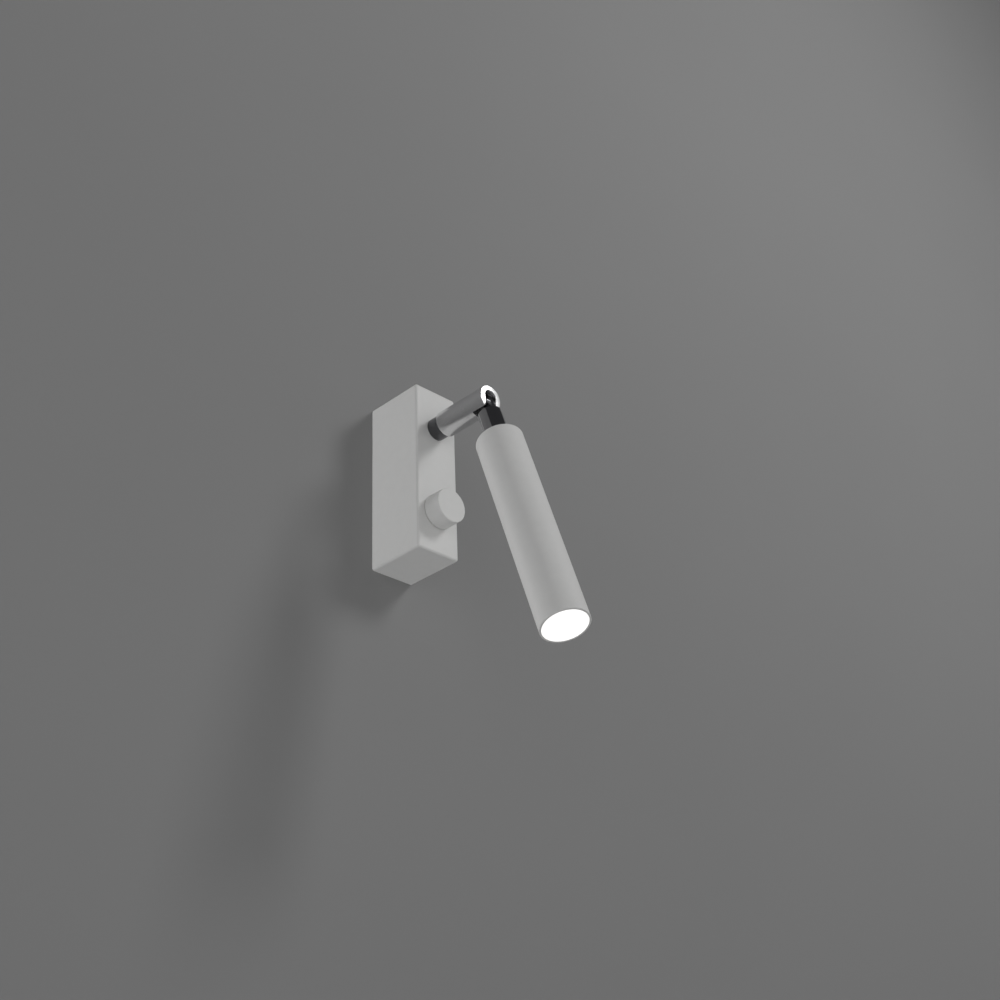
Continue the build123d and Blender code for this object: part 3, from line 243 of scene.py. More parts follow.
class Surface(ShaderTree):
    """A material's tree with the building blocks that several finishes share."""

    def __init__(self, owner: bpy.types.Material, run: Run) -> None:
        """Lays the material out in one frame.

        Args:
            owner: the material.
            run: the frame whose Z is the piece's axis.
        """
        super().__init__(owner)
        place = self.node("TexCoord", {}, {}).outputs["Object"]
        settings = {"vector_type": "TEXTURE"}
        inputs = {"Vector": place, "Location": run.value[0], "Rotation": run.value[1]}
        self.place = self.node("Mapping", settings, inputs).outputs["Vector"]
        self._split = self.node("SeparateXYZ", {}, {"Vector": self.place}).outputs

    def along(self, axis: str) -> Signal:
        """Distance along one of the frame's axes, in metres."""
        return Signal(self, self._split[axis])

    def radius(self) -> Signal:
        """Distance from the frame's Z axis, in metres."""
        return (self.along("X") ** 2.0 + self.along("Y") ** 2.0) ** 0.5

    def noise(
        self, size: float, detail: float = 3.0, stretch: Vector = Vector((1, 1, 1)),
    ) -> Signal:
        """Cloudy noise.

        Args:
            size: how large its patches are, in metres.
            detail: how many finer layers it has.
            stretch: how many times longer the patches are along each axis.

        Returns:
            The noise, from 0 to 1, with 0.5 as its middle.
        """
        scale = [1.0 / (size * part) for part in stretch]
        spread = self.node("VectorMath", {"operation": "MULTIPLY"}, {0: self.place, 1: scale})
        inputs = {"Vector": spread.outputs[0], "Scale": 1.0, "Detail": detail}
        return Signal(self, self.node("TexNoise", {}, inputs).outputs["Fac"])

    def cells(self, size: float, feature: str = "F1") -> Signal:
        """Cells of a Voronoi pattern.

        Args:
            size: how large a cell is, in metres.
            feature: how the distance to a cell's middle is measured.

        Returns:
            The distance, as a share of a cell's size.
        """
        inputs = {"Vector": self.place, "Scale": 1.0 / size}
        made = self.node("TexVoronoi", {"feature": feature}, inputs)
        return Signal(self, made.outputs["Distance"])

    def rounded(self, radius: float) -> bpy.types.NodeSocket:
        """Normal whose sharp edges are rounded by a radius, in metres."""
        return self.node("Bevel", {"samples": 6}, {"Radius": radius}).outputs["Normal"]

    def edges(self, rounded: bpy.types.NodeSocket) -> Signal:
        """Mask of the edges.

        Args:
            rounded: the rounded normal.

        Returns:
            1 on an edge and 0 away from it.
        """
        flat = self.node("NewGeometry", {}, {}).outputs["Normal"]
        alike = self.node("VectorMath", {"operation": "DOT_PRODUCT"}, {0: rounded, 1: flat})
        return (1.0 - Signal(self, alike.outputs["Value"])).rise(0.0, 0.25)

    def bump(self, height: Number, depth: float, normal: bpy.types.NodeSocket) -> Any:
        """Bump over a normal.

        Args:
            height: the relief, from 0 to 1.
            depth: how deep the relief is, in metres.
            normal: the normal below it.

        Returns:
            The new normal's socket.
        """
        inputs = {"Height": height, "Distance": depth, "Strength": 1.0, "Normal": normal}
        return self.node("Bump", {}, inputs).outputs["Normal"]

    def close(self, inputs: Mapping[str, Any]) -> None:
        """Ends the tree in one Principled shader.

        Args:
            inputs: values and links for its sockets.
        """
        shader = self.node("BsdfPrincipled", {}, inputs)
        self.node("OutputMaterial", {}, {"Surface": shader.outputs[0]})


# ---------------------------------------------------------------- finishes
@dataclass(frozen=True)
class Finish:
    """A named finish, built once and shared by the pieces that wear it."""

    name: str
    colour: Colour
    run: Run = Run.WALL
    drawn: ClassVar[dict[str, bpy.types.Material]] = {}

    def material(self) -> bpy.types.Material:
        """The finish's material, made the first time that it is asked for."""
        if self.name not in self.drawn:
            self.drawn[self.name] = bpy.data.materials.new(f"{self.name}_finish")
            self.draw(Surface(self.drawn[self.name], self.run))
        return self.drawn[self.name]

    def draw(self, surface: Surface) -> None:
        """Adds the finish's nodes.

        Args:
            surface: the tree that they go into.
        """
        raise NotImplementedError


@dataclass(frozen=True)
class PowderCoat(Finish):
    """Matte powder coat: fine orange peel, faint mottle, smoother over the edges, with their colour
    painted lighter as a highlight.
    """

    roughness: float = 0.60
    peel_depth: float = 0.000035

    def draw(self, surface: Surface) -> None:
        """See Finish.draw."""
        rounded = surface.rounded(0.5 * MM)
        edges = surface.edges(rounded)
        mottle = surface.noise(5 * MM, 4.0)
        peel = surface.noise(0.9 * MM, 2.0) * 0.65 + surface.noise(0.3 * MM, 2.0) * 0.35
        grain = surface.cells(0.42 * MM).rise(0.05, 0.5)
        lighter = tuple(min(1.0, part * 1.05) for part in self.colour)
        darker = tuple(part * 0.98 for part in self.colour)
        shade = surface.mixed(mottle.rise(0.25, 0.75), darker, self.colour)
        # painted highlight: the edges are painted lighter, and the grain's cells add paler flecks
        shade = surface.mixed(edges * 0.5 + (1.0 - grain) * 0.10, shade, lighter)
        rough = self.roughness + (mottle - 0.5) * 0.08 + (peel - 0.5) * 0.10 - edges * 0.06
        normal = surface.bump(peel * 0.8 + grain * 0.2, self.peel_depth, rounded)
        surface.close({
            "Base Color": shade,
            "Roughness": rough.clamped(),
            "Normal": normal,
            "Specular IOR Level": 0.30,
        })


class Grain(Enum):
    """How a metal was worked: how far its marks change the roughness, and how deep they are."""

    SATIN = (0.05, 1.5e-6)
    TURNED = (0.12, 5e-6)
    POLISHED = (0.02, 2e-6)
    PLATED = (0.16, 9e-6)

    @property
    def marks(self) -> float:
        """How far the marks change the roughness."""
        return self.value[0]

    @property
    def depth(self) -> float:
        """The marks' depth, in metres."""
        return self.value[1]


@dataclass(frozen=True)
class BrightEnd:
    """Polished end face of a satin bar.

    Attributes:
        start: how far along the bar it is fully polished.
        rim: the bar's radius.
        crown: how steeply the face falls away at its rim, as a slope.
        blur: the length over which the polish sets in.
        colour: its colour.
        roughness: its roughness.
    """

    start: float
    rim: float
    crown: float
    blur: float = 0.1 * MM
    colour: Colour = (0.80, 0.80, 0.80)
    roughness: float = 0.28


@dataclass(frozen=True)
class Metal(Finish):
    """Bare or plated metal, with the marks of how it was worked and a painted highlight along its
    edges.
    """

    grain: Grain = Grain.POLISHED
    roughness: float = 0.08
    edge_radius: float = 0.15 * MM
    # how far the edges are painted lighter, as a painted highlight
    edge_highlight: float = 0.6
    bright_end: Optional[BrightEnd] = None

    def relief(self, surface: Surface) -> Signal:
        """Fine marks of the working, from 0 to 1.

        Args:
            surface: the tree that they go into.

        Returns:
            The marks' height.
        """
        if self.grain is Grain.SATIN:
            lines = surface.noise(0.12 * MM, 3.0, Vector((1, 1, 60)))
            return lines * 0.7 + surface.noise(0.5 * MM, 2.0, Vector((1, 1, 25))) * 0.3
        if self.grain is Grain.TURNED:
            feed = (surface.radius() + surface.along("Z")) * (2 * math.pi / (0.16 * MM))
            return feed.wave() * 0.7 + surface.noise(0.3 * MM) * 0.3
        if self.grain is Grain.PLATED:
            spangle = surface.cells(1.6 * MM, "SMOOTH_F1")
            return spangle * 0.6 + surface.noise(0.25 * MM) * 0.4
        return surface.noise(2.5 * MM, 2.0) * 0.8 + surface.noise(0.2 * MM, 2.0) * 0.2

    def draw(self, surface: Surface) -> None:
        """See Finish.draw."""
        rounded = surface.rounded(self.edge_radius)
        edges = surface.edges(rounded)
        relief = self.relief(surface)
        smudge = surface.noise(9 * MM, 2.0).rise(0.35, 0.75)
        streaks = surface.noise(0.35 * MM, 2.0, Vector((1, 40, 1))).rise(0.66, 0.74)
        dull = tuple(part * 0.82 for part in self.colour)
        bright = tuple(min(1.0, part * 1.12) for part in self.colour)
        shade = surface.mixed(relief * 0.6 + smudge * 0.2, self.colour, dull)
        # painted highlight: the edges are painted a lighter colour
        shade = surface.mixed(edges * self.edge_highlight, shade, bright)
        rough = self.roughness + (relief - 0.5) * self.grain.marks + smudge * 0.02
        rough = rough + streaks * 0.02 - edges * 0.03
        normal = surface.bump(relief, self.grain.depth, rounded)
        if self.bright_end is not None:
            end = self.bright_end
            face = surface.along("Z").rise(end.start - end.blur, end.start)
            shade = surface.mixed(face, shade, end.colour)
            rough = rough * (1.0 - face) + face * end.roughness
            dome = surface.radius() ** 2.0 * (-0.5 * end.crown / end.rim)
            normal = surface.bump(dome * face, 1.0, normal)
        surface.close({
            "Base Color": shade,
            "Roughness": rough.clamped(),
            "Metallic": 1.0,
            "Normal": normal,
        })


class Mould(Enum):
    """What a moulded or extruded piece is made of."""

    SMOOTH = "smooth"
    SPARKED = "sparked"
    RUBBER = "rubber"
    FOAM = "foam"
    SLEEVE = "sleeve"
    TAPE = "tape"


@dataclass(frozen=True)
class Moulded(Finish):
    """Plastic, rubber, foam, tape or wire sleeve."""

    kind: Mould = Mould.SMOOTH
    roughness: float = 0.45

    def relief(self, surface: Surface) -> tuple[Signal, float]:
        """Surface relief of the kind.

        Args:
            surface: the tree that it goes into.

        Returns:
            The relief from 0 to 1, and its depth in metres.
        """
        if self.kind is Mould.SPARKED:
            return surface.noise(0.14 * MM, 3.0), 0.00002
        if self.kind is Mould.RUBBER:
            return surface.noise(0.35 * MM, 4.0), 0.00003
        if self.kind is Mould.FOAM:
            return surface.cells(0.5 * MM).rise(0.0, 0.6), 0.00015
        if self.kind is Mould.SLEEVE:
            return surface.noise(0.6 * MM, 2.0), 0.00002
        if self.kind is Mould.TAPE:
            wraps = (surface.along("Z") * (2 * math.pi / (3.1 * MM))).wave()
            return wraps.rise(0.9, 1.0), 0.00006
        return surface.noise(1.8 * MM, 2.0), 0.00001

    def draw(self, surface: Surface) -> None:
        """See Finish.draw."""
        rounded = surface.rounded(0.2 * MM)
        edges = surface.edges(rounded)
        relief, depth = self.relief(surface)
        flow = surface.noise(6 * MM, 3.0)
        dust = surface.noise(1.1 * MM, 4.0).rise(0.55, 0.8)
        paler = tuple(part * 0.8 + 0.06 for part in self.colour)
        darker = tuple(part * 0.85 for part in self.colour)
        shade = surface.mixed(flow.rise(0.3, 0.7) * 0.7 + relief * 0.3, self.colour, darker)
        shade = surface.mixed(dust * 0.25 + edges * 0.3, shade, paler)
        rough = self.roughness + (flow - 0.5) * 0.14 + (relief - 0.5) * 0.08 + dust * 0.06
        surface.close({
            "Base Color": shade,
            "Roughness": rough.clamped(),
            "Normal": surface.bump(relief, depth, rounded),
            "Specular IOR Level": 0.4,
        })


@dataclass(frozen=True)
class CircuitBoard(Finish):
    """Solder-masked board: copper runs under the mask and tinned pads on it."""

    mask: Colour = (0.09, 0.34, 0.16)
    pitch: float = 2.2 * MM

    def draw(self, surface: Surface) -> None:
        """See Finish.draw."""
        turns = 2 * math.pi / self.pitch
        bend = surface.noise(9 * MM, 0.0) * 9.0
        rows = (surface.along("X") * turns + bend).wave().rise(0.80, 0.86)
        lanes = (surface.along("Z") * turns + bend).wave().rise(0.86, 0.92)
        pads = surface.cells(self.pitch * 1.3).rise(0.22, 0.17)
        runs = (rows + lanes * 0.7).clamped()
        shade = surface.mixed(runs * 0.8, self.colour, self.mask)
        shade = surface.mixed(pads, shade, (0.72, 0.72, 0.70))
        surface.close({
            "Base Color": shade,
            "Roughness": (0.28 + surface.noise(1.5 * MM) * 0.12 + pads * 0.05).clamped(),
            "Metallic": pads,
            "Normal": surface.bump(runs * 0.5 + pads, 0.00004, surface.rounded(0.1 * MM)),
        })


@dataclass(frozen=True)
class Emitter(Finish):
    """Light-emitting chip: a yellow phosphor patch on a pale ceramic carrier."""

    patch_radius: float = 3.4 * MM
    blur: float = 0.05 * MM
    carrier: Colour = (0.82, 0.82, 0.80)

    def draw(self, surface: Surface) -> None:
        """See Finish.draw."""
        patch = surface.radius().rise(self.patch_radius + self.blur, self.patch_radius - self.blur)
        speckle = surface.noise(0.25 * MM, 4.0)
        deep = tuple(part * 0.8 for part in self.colour)
        yellow = surface.mixed(speckle.rise(0.3, 0.7), self.colour, deep)
        surface.close({
            "Base Color": surface.mixed(patch, self.carrier, yellow),
            "Roughness": (0.42 + speckle * 0.15).clamped(),
            "Normal": surface.bump(speckle, 0.00002, surface.rounded(0.1 * MM)),
        })


@dataclass(frozen=True)
class LitDiffuser(Finish):
    """Frosted diffuser with the lamp on behind it: white, a little dimmer towards its rim."""

    radius: float = 12.35 * MM
    rim_glow: Colour = (0.62, 0.61, 0.59)
    strength: float = 1.3

    def draw(self, surface: Surface) -> None:
        """See Finish.draw."""
        outward = surface.radius() / self.radius
        frost = surface.noise(0.22 * MM, 3.0)
        stipple = surface.cells(0.55 * MM).rise(0.1, 0.5)
        dimmer = outward.rise(0.80, 1.0) * 0.8 + stipple * 0.04
        surface.close({
            "Base Color": surface.mixed(stipple * 0.3, self.colour, self.rim_glow),
            "Roughness": (0.38 + frost * 0.2).clamped(),
            "Emission Color": surface.mixed(dimmer, (1.0, 1.0, 0.99), self.rim_glow),
            "Emission Strength": self.strength,
            "Normal": surface.bump(frost, 0.00002, surface.rounded(0.2 * MM)),
        })


POLISH_DEPTH = 0.3 * MM  # how far the bright end reaches back along the arm

WHITE_BASE = PowderCoat("white_paint", (0.80, 0.80, 0.79))
WHITE_HEAD = PowderCoat("white_paint_head", (0.80, 0.80, 0.79), Run.HEAD)
WHITE_KNOB = PowderCoat("white_paint_knob", (0.80, 0.80, 0.79), Run.KNOB)
SATIN_STEEL = Metal("satin_steel", (0.82, 0.82, 0.83), Run.ARM, Grain.SATIN, 0.25,
                    bright_end=BrightEnd(ARM_END - POLISH_DEPTH, rim=ARM_RADIUS, crown=0.13))
DARK_CHROME = Metal("dark_chrome", (0.14, 0.14, 0.147), Run.ARM, Grain.POLISHED, 0.20)
CHROME = Metal("chrome", (0.55, 0.55, 0.56), Run.HEAD, Grain.POLISHED, 0.09, edge_highlight=0.2)
ZINC = Metal("zinc_steel", (0.60, 0.60, 0.58), Run.WALL, Grain.PLATED, 0.30)
BRASS = Metal("brass", (0.76, 0.60, 0.30), Run.WALL, Grain.TURNED, 0.24)
ALUMINIUM = Metal("aluminium", (0.72, 0.72, 0.73), Run.HEAD, Grain.TURNED, 0.28)
MIRROR = Metal("mirror_coat", (0.85, 0.85, 0.86), Run.HEAD, Grain.POLISHED, 0.05)
RUBBER = Moulded("black_rubber", (0.04, 0.04, 0.04), Run.WALL, Mould.RUBBER, 0.66)
NYLON = Moulded("white_moulding", (0.82, 0.81, 0.78), Run.WALL, Mould.SMOOTH, 0.42)
CASE = Moulded("black_moulding", (0.05, 0.05, 0.055), Run.WALL, Mould.SPARKED, 0.50)
SLIP = Moulded("white_slip", (0.78, 0.78, 0.76), Run.ARM, Mould.SMOOTH, 0.36)
FOAM = Moulded("foam", (0.08, 0.08, 0.08), Run.WALL, Mould.FOAM, 0.85)
TAPE = Moulded("winding_tape", (0.72, 0.60, 0.12), Run.WALL, Mould.TAPE, 0.34)
GREY_SLEEVE = Moulded("grey_insulation", (0.30, 0.30, 0.31), Run.WALL, Mould.SLEEVE, 0.40)
BLACK_SLEEVE = Moulded("black_insulation", (0.06, 0.06, 0.06), Run.WALL, Mould.SLEEVE, 0.40)
EARTH_SLEEVE = Moulded("earth_insulation", (0.25, 0.45, 0.12), Run.WALL, Mould.SLEEVE, 0.40)
GREEN_BOARD = CircuitBoard("green_board", (0.05, 0.22, 0.10))
WHITE_BOARD = CircuitBoard("white_board", (0.86, 0.86, 0.85), Run.HEAD, (0.78, 0.78, 0.76))
PHOSPHOR = Emitter("phosphor", (0.92, 0.78, 0.20), Run.HEAD)
LENS = LitDiffuser("glowing_lens", (0.95, 0.95, 0.94), Run.HEAD)


# ---------------------------------------------------------------- meshes
class Ring(NamedTuple):
    """One ring of a turned body: a circle's radius, or a polygon's width across its flats."""

    size: float
    height: float
    sides: int = 0

    def points(self, count: int) -> list[Vector]:
        """The ring's points.

        Args:
            count: how many points it has.

        Returns:
            The points, in order round the Z axis.
        """
        found = []
        for step in range(count):
            angle = 2 * math.pi * step / count
            reach = self.size
            if self.sides:
                corner = 2 * math.pi / self.sides
                reach = self.size / 2 / math.cos(angle % corner - corner / 2)
            found.append(Vector((reach * math.cos(angle), reach * math.sin(angle), self.height)))
        return found


@dataclass
class Piece:
    """A mesh that is built here; the screws and the grommet ride on the model's bodies, the leads'
    slack on none.
    """

    round_sides: ClassVar[int] = 72
    wire_sides: ClassVar[int] = 16
    wire_steps: ClassVar[int] = 8

    name: str
    points: list[Vector] = field(default_factory=list)
    faces: list[tuple[int, ...]] = field(default_factory=list)

    def _join(self, rings: Sequence[Sequence[Vector]], looped: bool) -> None:
        """Adds rings of points and the faces between them.

        Args:
            rings: the rings, all with as many points.
            looped: whether the last ring joins the first. Otherwise each end is closed by a face.
        """
        first, count = len(self.points), len(rings[0])
        for ring in rings:
            self.points.extend(ring)
        for row in range(len(rings) if looped else len(rings) - 1):
            here, there = first + row * count, first + (row + 1) % len(rings) * count
            for step in range(count):
                after = (step + 1) % count
                self.faces.append((here + step, here + after, there + after, there + step))
        if not looped:
            last = first + (len(rings) - 1) * count
            self.faces.append(tuple(range(first, first + count)))
            self.faces.append(tuple(range(last, last + count)))

    def turn(self, rings: Sequence[Ring], place: Matrix, looped: bool = False) -> None:
        """Adds a turned body.

        Args:
            rings: its rings, along its outline.
            place: matrix from its own frame, with Z as its axis, to the model.
            looped: whether the outline closes on itself, as a bored body's does.
        """
        placed = [[place @ point for point in ring.points(self.round_sides)] for ring in rings]
        self._join(placed, looped)

    def sweep(self, route: Sequence[Vector], radius: float) -> None:
        """Adds a round wire along smooth bends.

        Args:
            route: points that the wire passes through.
            radius: its radius.
        """
        path = smooth_path(route, self.wire_steps)
        angles = [2 * math.pi * step / self.wire_sides for step in range(self.wire_sides)]
        side = Vector((1.0, 0.0, 0.0))
        rings = []
        for number, point in enumerate(path):
            along = path[min(number + 1, len(path) - 1)] - path[max(number - 1, 0)]
            along.normalize()
            side = (side - along * side.dot(along)).normalized()
            across = along.cross(side)
            spokes = [side * math.cos(angle) + across * math.sin(angle) for angle in angles]
            rings.append([point + spoke * radius for spoke in spokes])
        self._join(rings, False)

    def made(self, finish: Finish, slot: str, sharp: float = math.radians(28)) -> bpy.types.Object:
        """Turns the points and faces into an object.

        Args:
            finish: what it wears.
            slot: the record's material slot that the finish belongs to; not used.
            sharp: the angle from which an edge is drawn sharp.

        Returns:
            The object.
        """
        mesh = bpy.data.meshes.new(self.name)
        mesh.from_pydata([tuple(point) for point in self.points], [], self.faces)
        shape = bmesh.new()
        shape.from_mesh(mesh)
        bmesh.ops.recalc_face_normals(shape, faces=shape.faces)
        shape.to_mesh(mesh)
        shape.free()
        mesh.shade_smooth()
        mesh.set_sharp_from_angle(angle=sharp)
        mesh.materials.append(finish.material())
        made = bpy.data.objects.new(self.name, mesh)
        bpy.context.scene.collection.objects.link(made)
        log.info("%s is built with %d faces", self.name, len(mesh.polygons))
        return made


def smooth_path(route: Sequence[Vector], steps: int) -> list[Vector]:
    """Smooth line through points.

    Args:
        route: the points.
        steps: how many pieces each stretch between two points is drawn with.

    Returns:
        Points along the line.
    """
    ends = [route[0] * 2 - route[1], *route, route[-1] * 2 - route[-2]]
    path = []
    for before, start, end, after in zip(ends, ends[1:], ends[2:], ends[3:]):
        for step in range(steps):
            share = step / steps
            path.append(0.5 * (
                2 * start
                + (end - before) * share
                + (2 * before - 5 * start + 4 * end - after) * share ** 2
                + (3 * start - before - 3 * end + after) * share ** 3
            ))
    return [*path, route[-1]]


def facing(point: Vector, direction: Vector) -> Matrix:
    """Matrix that puts a frame's origin at a point and its Z along a direction."""
    return Matrix.Translation(point) @ direction.to_track_quat("Z", "Y").to_matrix().to_4x4()


@dataclass(frozen=True)
class SocketScrew:
    """Screw with a hexagon socket, drawn down from the seat or face at Z = 0.

    Attributes:
        shank: its shank's radius.
        length: how far it reaches below the seat.
        drive: the socket's width across its flats.
        head: the head's radius, or 0 for a grub screw.
        head_height: how far the head stands above the seat.
        countersink: how deep a countersunk head is.
        socket_depth: how deep the socket is.
        soft: how far its edges are rounded.
        pitch: the thread's pitch.
        thread_depth: how deep the thread is.
    """

    shank: float
    length: float
    drive: float
    head: float = 0.0
    head_height: float = 0.0
    countersink: float = 0.0
    socket_depth: float = 1.0 * MM
    soft: float = 0.08 * MM
    pitch: float = 0.5 * MM
    thread_depth: float = 0.22 * MM

    def rings(self) -> list[Ring]:
        """The screw's outline from the floor of its socket, over its head and down its shank."""
        top, soft = self.head_height, self.soft
        rim = self.head or self.shank
        found = [
            Ring(self.drive * 0.1, top - self.socket_depth - 2 * soft),
            Ring(self.drive, top - self.socket_depth, 6),
            Ring(self.drive, top - 1.5 * soft, 6),
            Ring(self.drive + 2.5 * soft, top - 0.2 * soft, 6),
            Ring((self.drive * 0.62 + rim) / 2, top),
            Ring(rim - 2 * soft, top - 0.4 * soft),
            Ring(rim - 0.6 * soft, top - soft),
            Ring(rim, top - 2 * soft),
        ]
        if self.head_height:
            found += [Ring(rim, soft), Ring(rim - soft, 0.0), Ring(self.shank, 0.0)]
        elif self.countersink:
            found += [Ring(rim, -2.6 * soft), Ring(self.shank, -self.countersink)]
        start = -self.countersink - 2 * soft if self.head else -3 * soft
        turns = int((self.length + start) / self.pitch)
        for turn in range(turns):
            crest = start - (turn + 0.25) * self.pitch
            found.append(Ring(self.shank, crest))
            found.append(Ring(self.shank - self.thread_depth, crest - 0.5 * self.pitch))
        found.append(Ring(self.shank - self.thread_depth, -self.length))
        return found

    def build(self, node: str, body: str, place: Matrix, finish: Finish, slot: str) -> None:
        """Builds the screw in place of its CAD node.

        Args:
            node: the CAD node that it stands for.
            body: the body that it rides on.
            place: matrix from the screw's frame to the model.
            finish: what it wears.
            slot: the record's material slot; not used.
        """
        piece = Piece(f"{node}_turned")
        piece.turn(self.rings(), place)
        made = piece.made(finish, slot)
        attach(made, body)
        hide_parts(node)


# ---------------------------------------------------------------- sub-assemblies
def dress(node: str, finish: Finish) -> None:
    """Gives a CAD node its finish.

    Args:
        node: the node's name.
        finish: what it wears.
    """
    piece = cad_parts[node]
    if not piece.material_slots:
        piece.data.materials.append(finish.material())
    for slot in piece.material_slots:
        slot.material = finish.material()
    log.info("%s wears %s", node, finish.name)


@dataclass
class Base:
    """Casing on the wall, with all that it holds.

    The grommet's rear and front are its end faces' distances out from the wall.
    """

    top: float = 53.25 * MM
    casing_screw_out: float = 6.5 * MM
    casing_screw: SocketScrew = SocketScrew(
        shank=1.5 * MM, length=6.0 * MM, drive=2.0 * MM, head=2.72 * MM, countersink=1.25 * MM,
    )
    grommet_bore: float = 3.5 * MM
    grommet_flange: float = 7.4 * MM
    grommet_waist: float = 5.4 * MM
    grommet_rear: float = 0.15 * MM
    grommet_front: float = 4.35 * MM
    flange_thickness: float = 1.35 * MM
    finishes: dict[str, Finish] = field(default_factory=lambda: {
        "base_housing": WHITE_BASE,
        "wall_plate": ZINC,
        "terminal_block": NYLON,
        "terminal_clamps": BRASS,
        "terminal_screws": ZINC,
        "terminal_block_screw": ZINC,
        "earth_stud": BRASS,
        "earth_nut": BRASS,
        "earth_ring_tag": ZINC,
        "earth_lead": EARTH_SLEEVE,
        "driver_pad": FOAM,
        "driver_case": CASE,
        "driver_lid": CASE,
        "driver_board": GREEN_BOARD,
        "driver_transformer": TAPE,
        "driver_capacitor": CASE,
        "supply_leads": GREY_SLEEVE,
        "dimmer_leads": GREY_SLEEVE,
        "lamp_leads_base": BLACK_SLEEVE,
        "dimmer_body": CASE,
        "dimmer_washer": ZINC,
        "dimmer_nut": ZINC,
        "swivel_collar": DARK_CHROME,
        "swivel_thrust_washer": SLIP,
        "swivel_friction_washer": SLIP,
        "stop_pin": ZINC,
    })

    def flange(self, start: float, end: float) -> list[Ring]:
        """Half of a rubber flange's rounded outline.

        Args:
            start: the height where the outline leaves the flange's plate side.
            end: the height of its free side.

        Returns:
            Its rings, from the waist out and round to the bore.
        """
        rise, reach = end - start, self.grommet_flange
        lip = reach - self.grommet_bore
        outline = (
            (0.16, 0.04), (0.06, 0.16), (0.0, 0.45), (0.04, 0.72), (0.12, 0.90), (0.24, 0.99),
            (0.74, 1.0), (0.90, 0.86), (1.0, 0.52),
        )
        found = [Ring(self.grommet_waist, start)]
        found += [Ring(reach - lip * across, start + rise * up) for across, up in outline]
        return found

    def build_grommet(self) -> None:
        """Builds the rubber bush of the cable hole, with rounded lips."""
        rear = self.flange(self.grommet_rear + self.flange_thickness, self.grommet_rear)
        front = self.flange(self.grommet_front - self.flange_thickness, self.grommet_front)
        piece = Piece("cable_grommet_moulded")
        outward = facing(Vector(), Vector((0.0, -1.0, 0.0)))
        piece.turn([*reversed(rear), *front], outward, looped=True)
        made = piece.made(RUBBER, "black_rubber", math.radians(60))
        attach(made, "base")
        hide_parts("cable_grommet")

    def build(self) -> None:
        """Dresses the base's nodes and builds its screw and bush."""
        for node, finish in self.finishes.items():
            dress(node, finish)
        self.build_grommet()
        place = Matrix.Translation((0.0, -self.casing_screw_out, self.top))
        self.casing_screw.build("housing_screw", "base", place, ZINC, "zinc_steel")


@dataclass
class Knob:
    """Dimmer knob and its shaft."""

    grub_top: Vector = field(default_factory=lambda: Vector((0.0, -46.05 * MM, -18.7 * MM)))
    grub_screw: SocketScrew = SocketScrew(shank=1.5 * MM, length=7.0 * MM, drive=1.5 * MM)
    finishes: dict[str, Finish] = field(default_factory=lambda: {
        "dimmer_shaft": BRASS,
        "knob": WHITE_KNOB,
    })

    def build(self) -> None:
        """Dresses the knob's nodes and builds its grub screw."""
        for node, finish in self.finishes.items():
            dress(node, finish)
        place = Matrix.Translation(self.grub_top)
        self.grub_screw.build("knob_grub_screw", "knob", place, ZINC, "zinc_steel")


@dataclass
class Arm:
    """Swivelling arm, its fork, the hinge screw and the leads' slack across the hinge."""

    hinge: Vector = field(default_factory=lambda: Run.HEAD.start)
    head_seat: float = 5.5 * MM
    hinge_screw: SocketScrew = SocketScrew(
        shank=1.48 * MM, length=11.9 * MM, drive=2.0 * MM, head=2.75 * MM, head_height=1.5 * MM,
        thread_depth=0.0,
    )
    lead_radius: float = 0.58 * MM
    lead_route: tuple[Place, ...] = (  # of the +X lead, in millimetres from the hinge
        (0.90, 5.95, 0.0),
        (1.30, 5.00, -0.7),
        (2.45, 4.15, -2.4),
        (2.75, 2.50, -4.6),
        (2.55, -0.60, -6.3),
        (2.42, -2.50, -8.1),
        (2.40, -3.40, -10.7),
    )
    finishes: dict[str, Finish] = field(default_factory=lambda: {
        "swivel_stud": ZINC,
        "stop_washer": ZINC,
        "swivel_nut": ZINC,
        "arm_body": SATIN_STEEL,
        "tilt_bushes": CHROME,
        "lamp_leads_arm": BLACK_SLEEVE,
    })

    def build_leads(self) -> None:
        """Builds the short slack of both lamp leads as one fixed mesh; in the real lamp it bends as
        the head tilts.
        """
        piece = Piece("lamp_leads_slack")
        for side in (-1, 1):
            offsets = [Vector((side * x, y, z)) * MM for x, y, z in self.lead_route]
            piece.sweep([self.hinge + offset for offset in offsets], self.lead_radius)
        made = piece.made(BLACK_SLEEVE, "black_insulation")
        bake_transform(made)

    def build(self) -> None:
        """Dresses the arm's nodes and builds the hinge screw and the leads' slack."""
        for node, finish in self.finishes.items():
            dress(node, finish)
        place = facing(self.hinge + Vector((self.head_seat, 0.0, 0.0)), Vector((1.0, 0.0, 0.0)))
        self.hinge_screw.build("hinge_screw", "arm", place, CHROME, "chrome")
        self.build_leads()


@dataclass
class Head:
    """Tilting lamp head on its chromed knuckle."""

    finishes: dict[str, Finish] = field(default_factory=lambda: {
        "knuckle": CHROME,
        "head_lock_washer": ZINC,
        "head_nut": ZINC,
        "head_tube": WHITE_HEAD,
        "heat_sink": ALUMINIUM,
        "led_board": WHITE_BOARD,
        "board_screws": ZINC,
        "led_chip": PHOSPHOR,
        "reflector": MIRROR,
        "front_lens": LENS,
        "lamp_leads_head": BLACK_SLEEVE,
    })

    def build(self) -> None:
        """Dresses the head's nodes."""
        for node, finish in self.finishes.items():
            dress(node, finish)


# ---------------------------------------------------------------- studio
@dataclass(frozen=True)
class SoftLight:
    """A soft square light: its name, where it stands, its side in metres and its power in watts."""

    name: str
    place: Place
    size: float
    power: float


